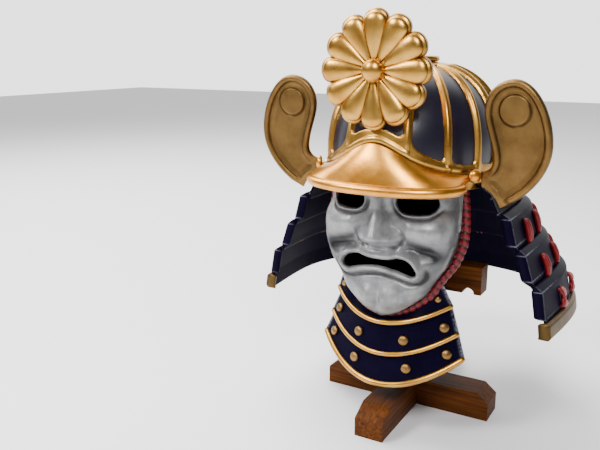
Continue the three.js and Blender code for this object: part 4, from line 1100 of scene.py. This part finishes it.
def wood_material(name, along, light, dark, gloss=0.1):
    """Dark stained hardwood under varnish. Long grain shows as streaks of orange in brown."""
    material, tree, shader, place = new_material(name, Specular_IOR_Level=gloss)
    stretch = {"X": (0.04, 1, 1), "Y": (1, 0.04, 1), "Z": (1, 1, 0.04)}[along]
    stretched = add(tree, "VectorMath", {"operation": "MULTIPLY"}, i0=place, i1=stretch)
    grain = add(tree, "TexNoise", Vector=stretched, Scale=per_grain(4), Detail=6, Roughness=0.6)
    pores = add(tree, "TexNoise", Vector=stretched, Scale=per_grain(0.9), **PLAIN)
    clouds = add(tree, "TexNoise", Vector=place, Scale=per_grain(40), Detail=3, Roughness=0.55)
    streak = add(tree, "MapRange", i0=grain, i1=0.28, i2=0.8)
    body = add(tree, "Mix", COLOURS, MIXED, i0=streak, i6=linear(dark), i7=linear(light))
    shade = add(tree, "MapRange", i0=clouds, i1=0.3, i2=0.7, i3=0.25, i4=0.0)
    feed(shader, Base_Color=add(tree, "Mix", COLOURS, MIXED, i0=shade, i6=body, i7=linear("#140a05")),
         Roughness=add(tree, "MapRange", i0=pores, i3=0.45, i4=0.65),
         Normal=add(tree, "Bump", Height=pores, Distance=0.15 * MM))
    return material


def dress(name, material, edge):
    """Gives a node that is shown as built its finish, and rounds its edges by a few tenths."""
    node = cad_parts[name]
    node.data.materials.clear()
    node.data.materials.append(material)
    soft = node.modifiers.new("soft_edges", "BEVEL")
    soft.width = edge * MM
    soft.segments = 3
    soft.limit_method = "ANGLE"
    soft.angle_limit = math.radians(35)
    soft.harden_normals = False


GRAIN_RUNS = {"stand_beam": "X", "stand_foot": "Y", "stand_post": "Z", "stand_crossbar": "X",
              "stand_head_rest": "Z"}
woods = {way: wood_material("oiled_hardwood_along_" + way.lower(), way, "#74400f", "#2c1104")
         for way in "XYZ"}
for name, way in GRAIN_RUNS.items():
    dress(name, woods[way], 1.2)
# The mask's support board is near-black so the eye and mouth holes read dark: a real support, its colour
# painted shade.
dress("mask_bracket", wood_material("near_black_board_as_painted_shade", "Z", "#060505", "#020202", gloss=0.05), 0.5)
dress("crest_prong", gilt, 0.5)

# ---- Floor and light --------------------------------------------------------------------------
# The floor is a sheet of white paper. A broad white sky behind the helmet lights its far edge, with
# one large lamp overhead and two small soft ones in front for the glints on gilding and iron.

FLOOR_REACH = 6
BEHIND_HELMET = (-0.47, 0.82, 0.33)
SKY_EDGE = (0.3, 0.85)
SKY_STRENGTH = (0.16, 2.6)
floor_mesh = bpy.data.meshes.new("floor")
corners = [(-FLOOR_REACH, -FLOOR_REACH, 0), (FLOOR_REACH, -FLOOR_REACH, 0), (FLOOR_REACH, FLOOR_REACH, 0),
           (-FLOOR_REACH, FLOOR_REACH, 0)]
floor_mesh.from_pydata(corners, [], [(0, 1, 2, 3)])
floor_mesh.materials.append(new_material("white_paper_floor", Base_Color=linear("#f6f5f7"), Roughness=0.9)[0])
floor = put("floor", floor_mesh)

world = bpy.data.worlds.new("studio")
bpy.context.scene.world = world
world.use_nodes = True
tree = world.node_tree
behind = add(tree, "VectorMath", {"operation": "DOT_PRODUCT"}, "Value",
             i0=add(tree, "TexCoord", output="Generated"), i1=BEHIND_HELMET)
sky = add(tree, "MapRange", {"interpolation_type": "SMOOTHSTEP"}, i0=behind, i1=SKY_EDGE[0], i2=SKY_EDGE[1],
          i3=SKY_STRENGTH[0], i4=SKY_STRENGTH[1])
background = tree.nodes["Background"]
background.inputs["Color"].default_value = linear("#ffffff")
feed(background, Strength=sky)


def soft_box(name, at, size, watts, target):
    light = bpy.data.lights.new(name, "AREA")
    light.size = size
    light.energy = watts
    lamp = put(name, light)
    lamp.location = at
    lamp.rotation_euler = (Vector(target) - Vector(at)).to_track_quat("-Z", "Y").to_euler()


soft_box("overhead", (-1.5, 0.5, 2.1), 2.2, 130, (0, 0, 0))
soft_box("key", (-0.85, -1.15, 1.35), 0.45, 26, (0, -0.02, 0.3))
soft_box("fill", (0.47, -1.1, 1.28), 0.5, 21, (0, -0.02, 0.3))
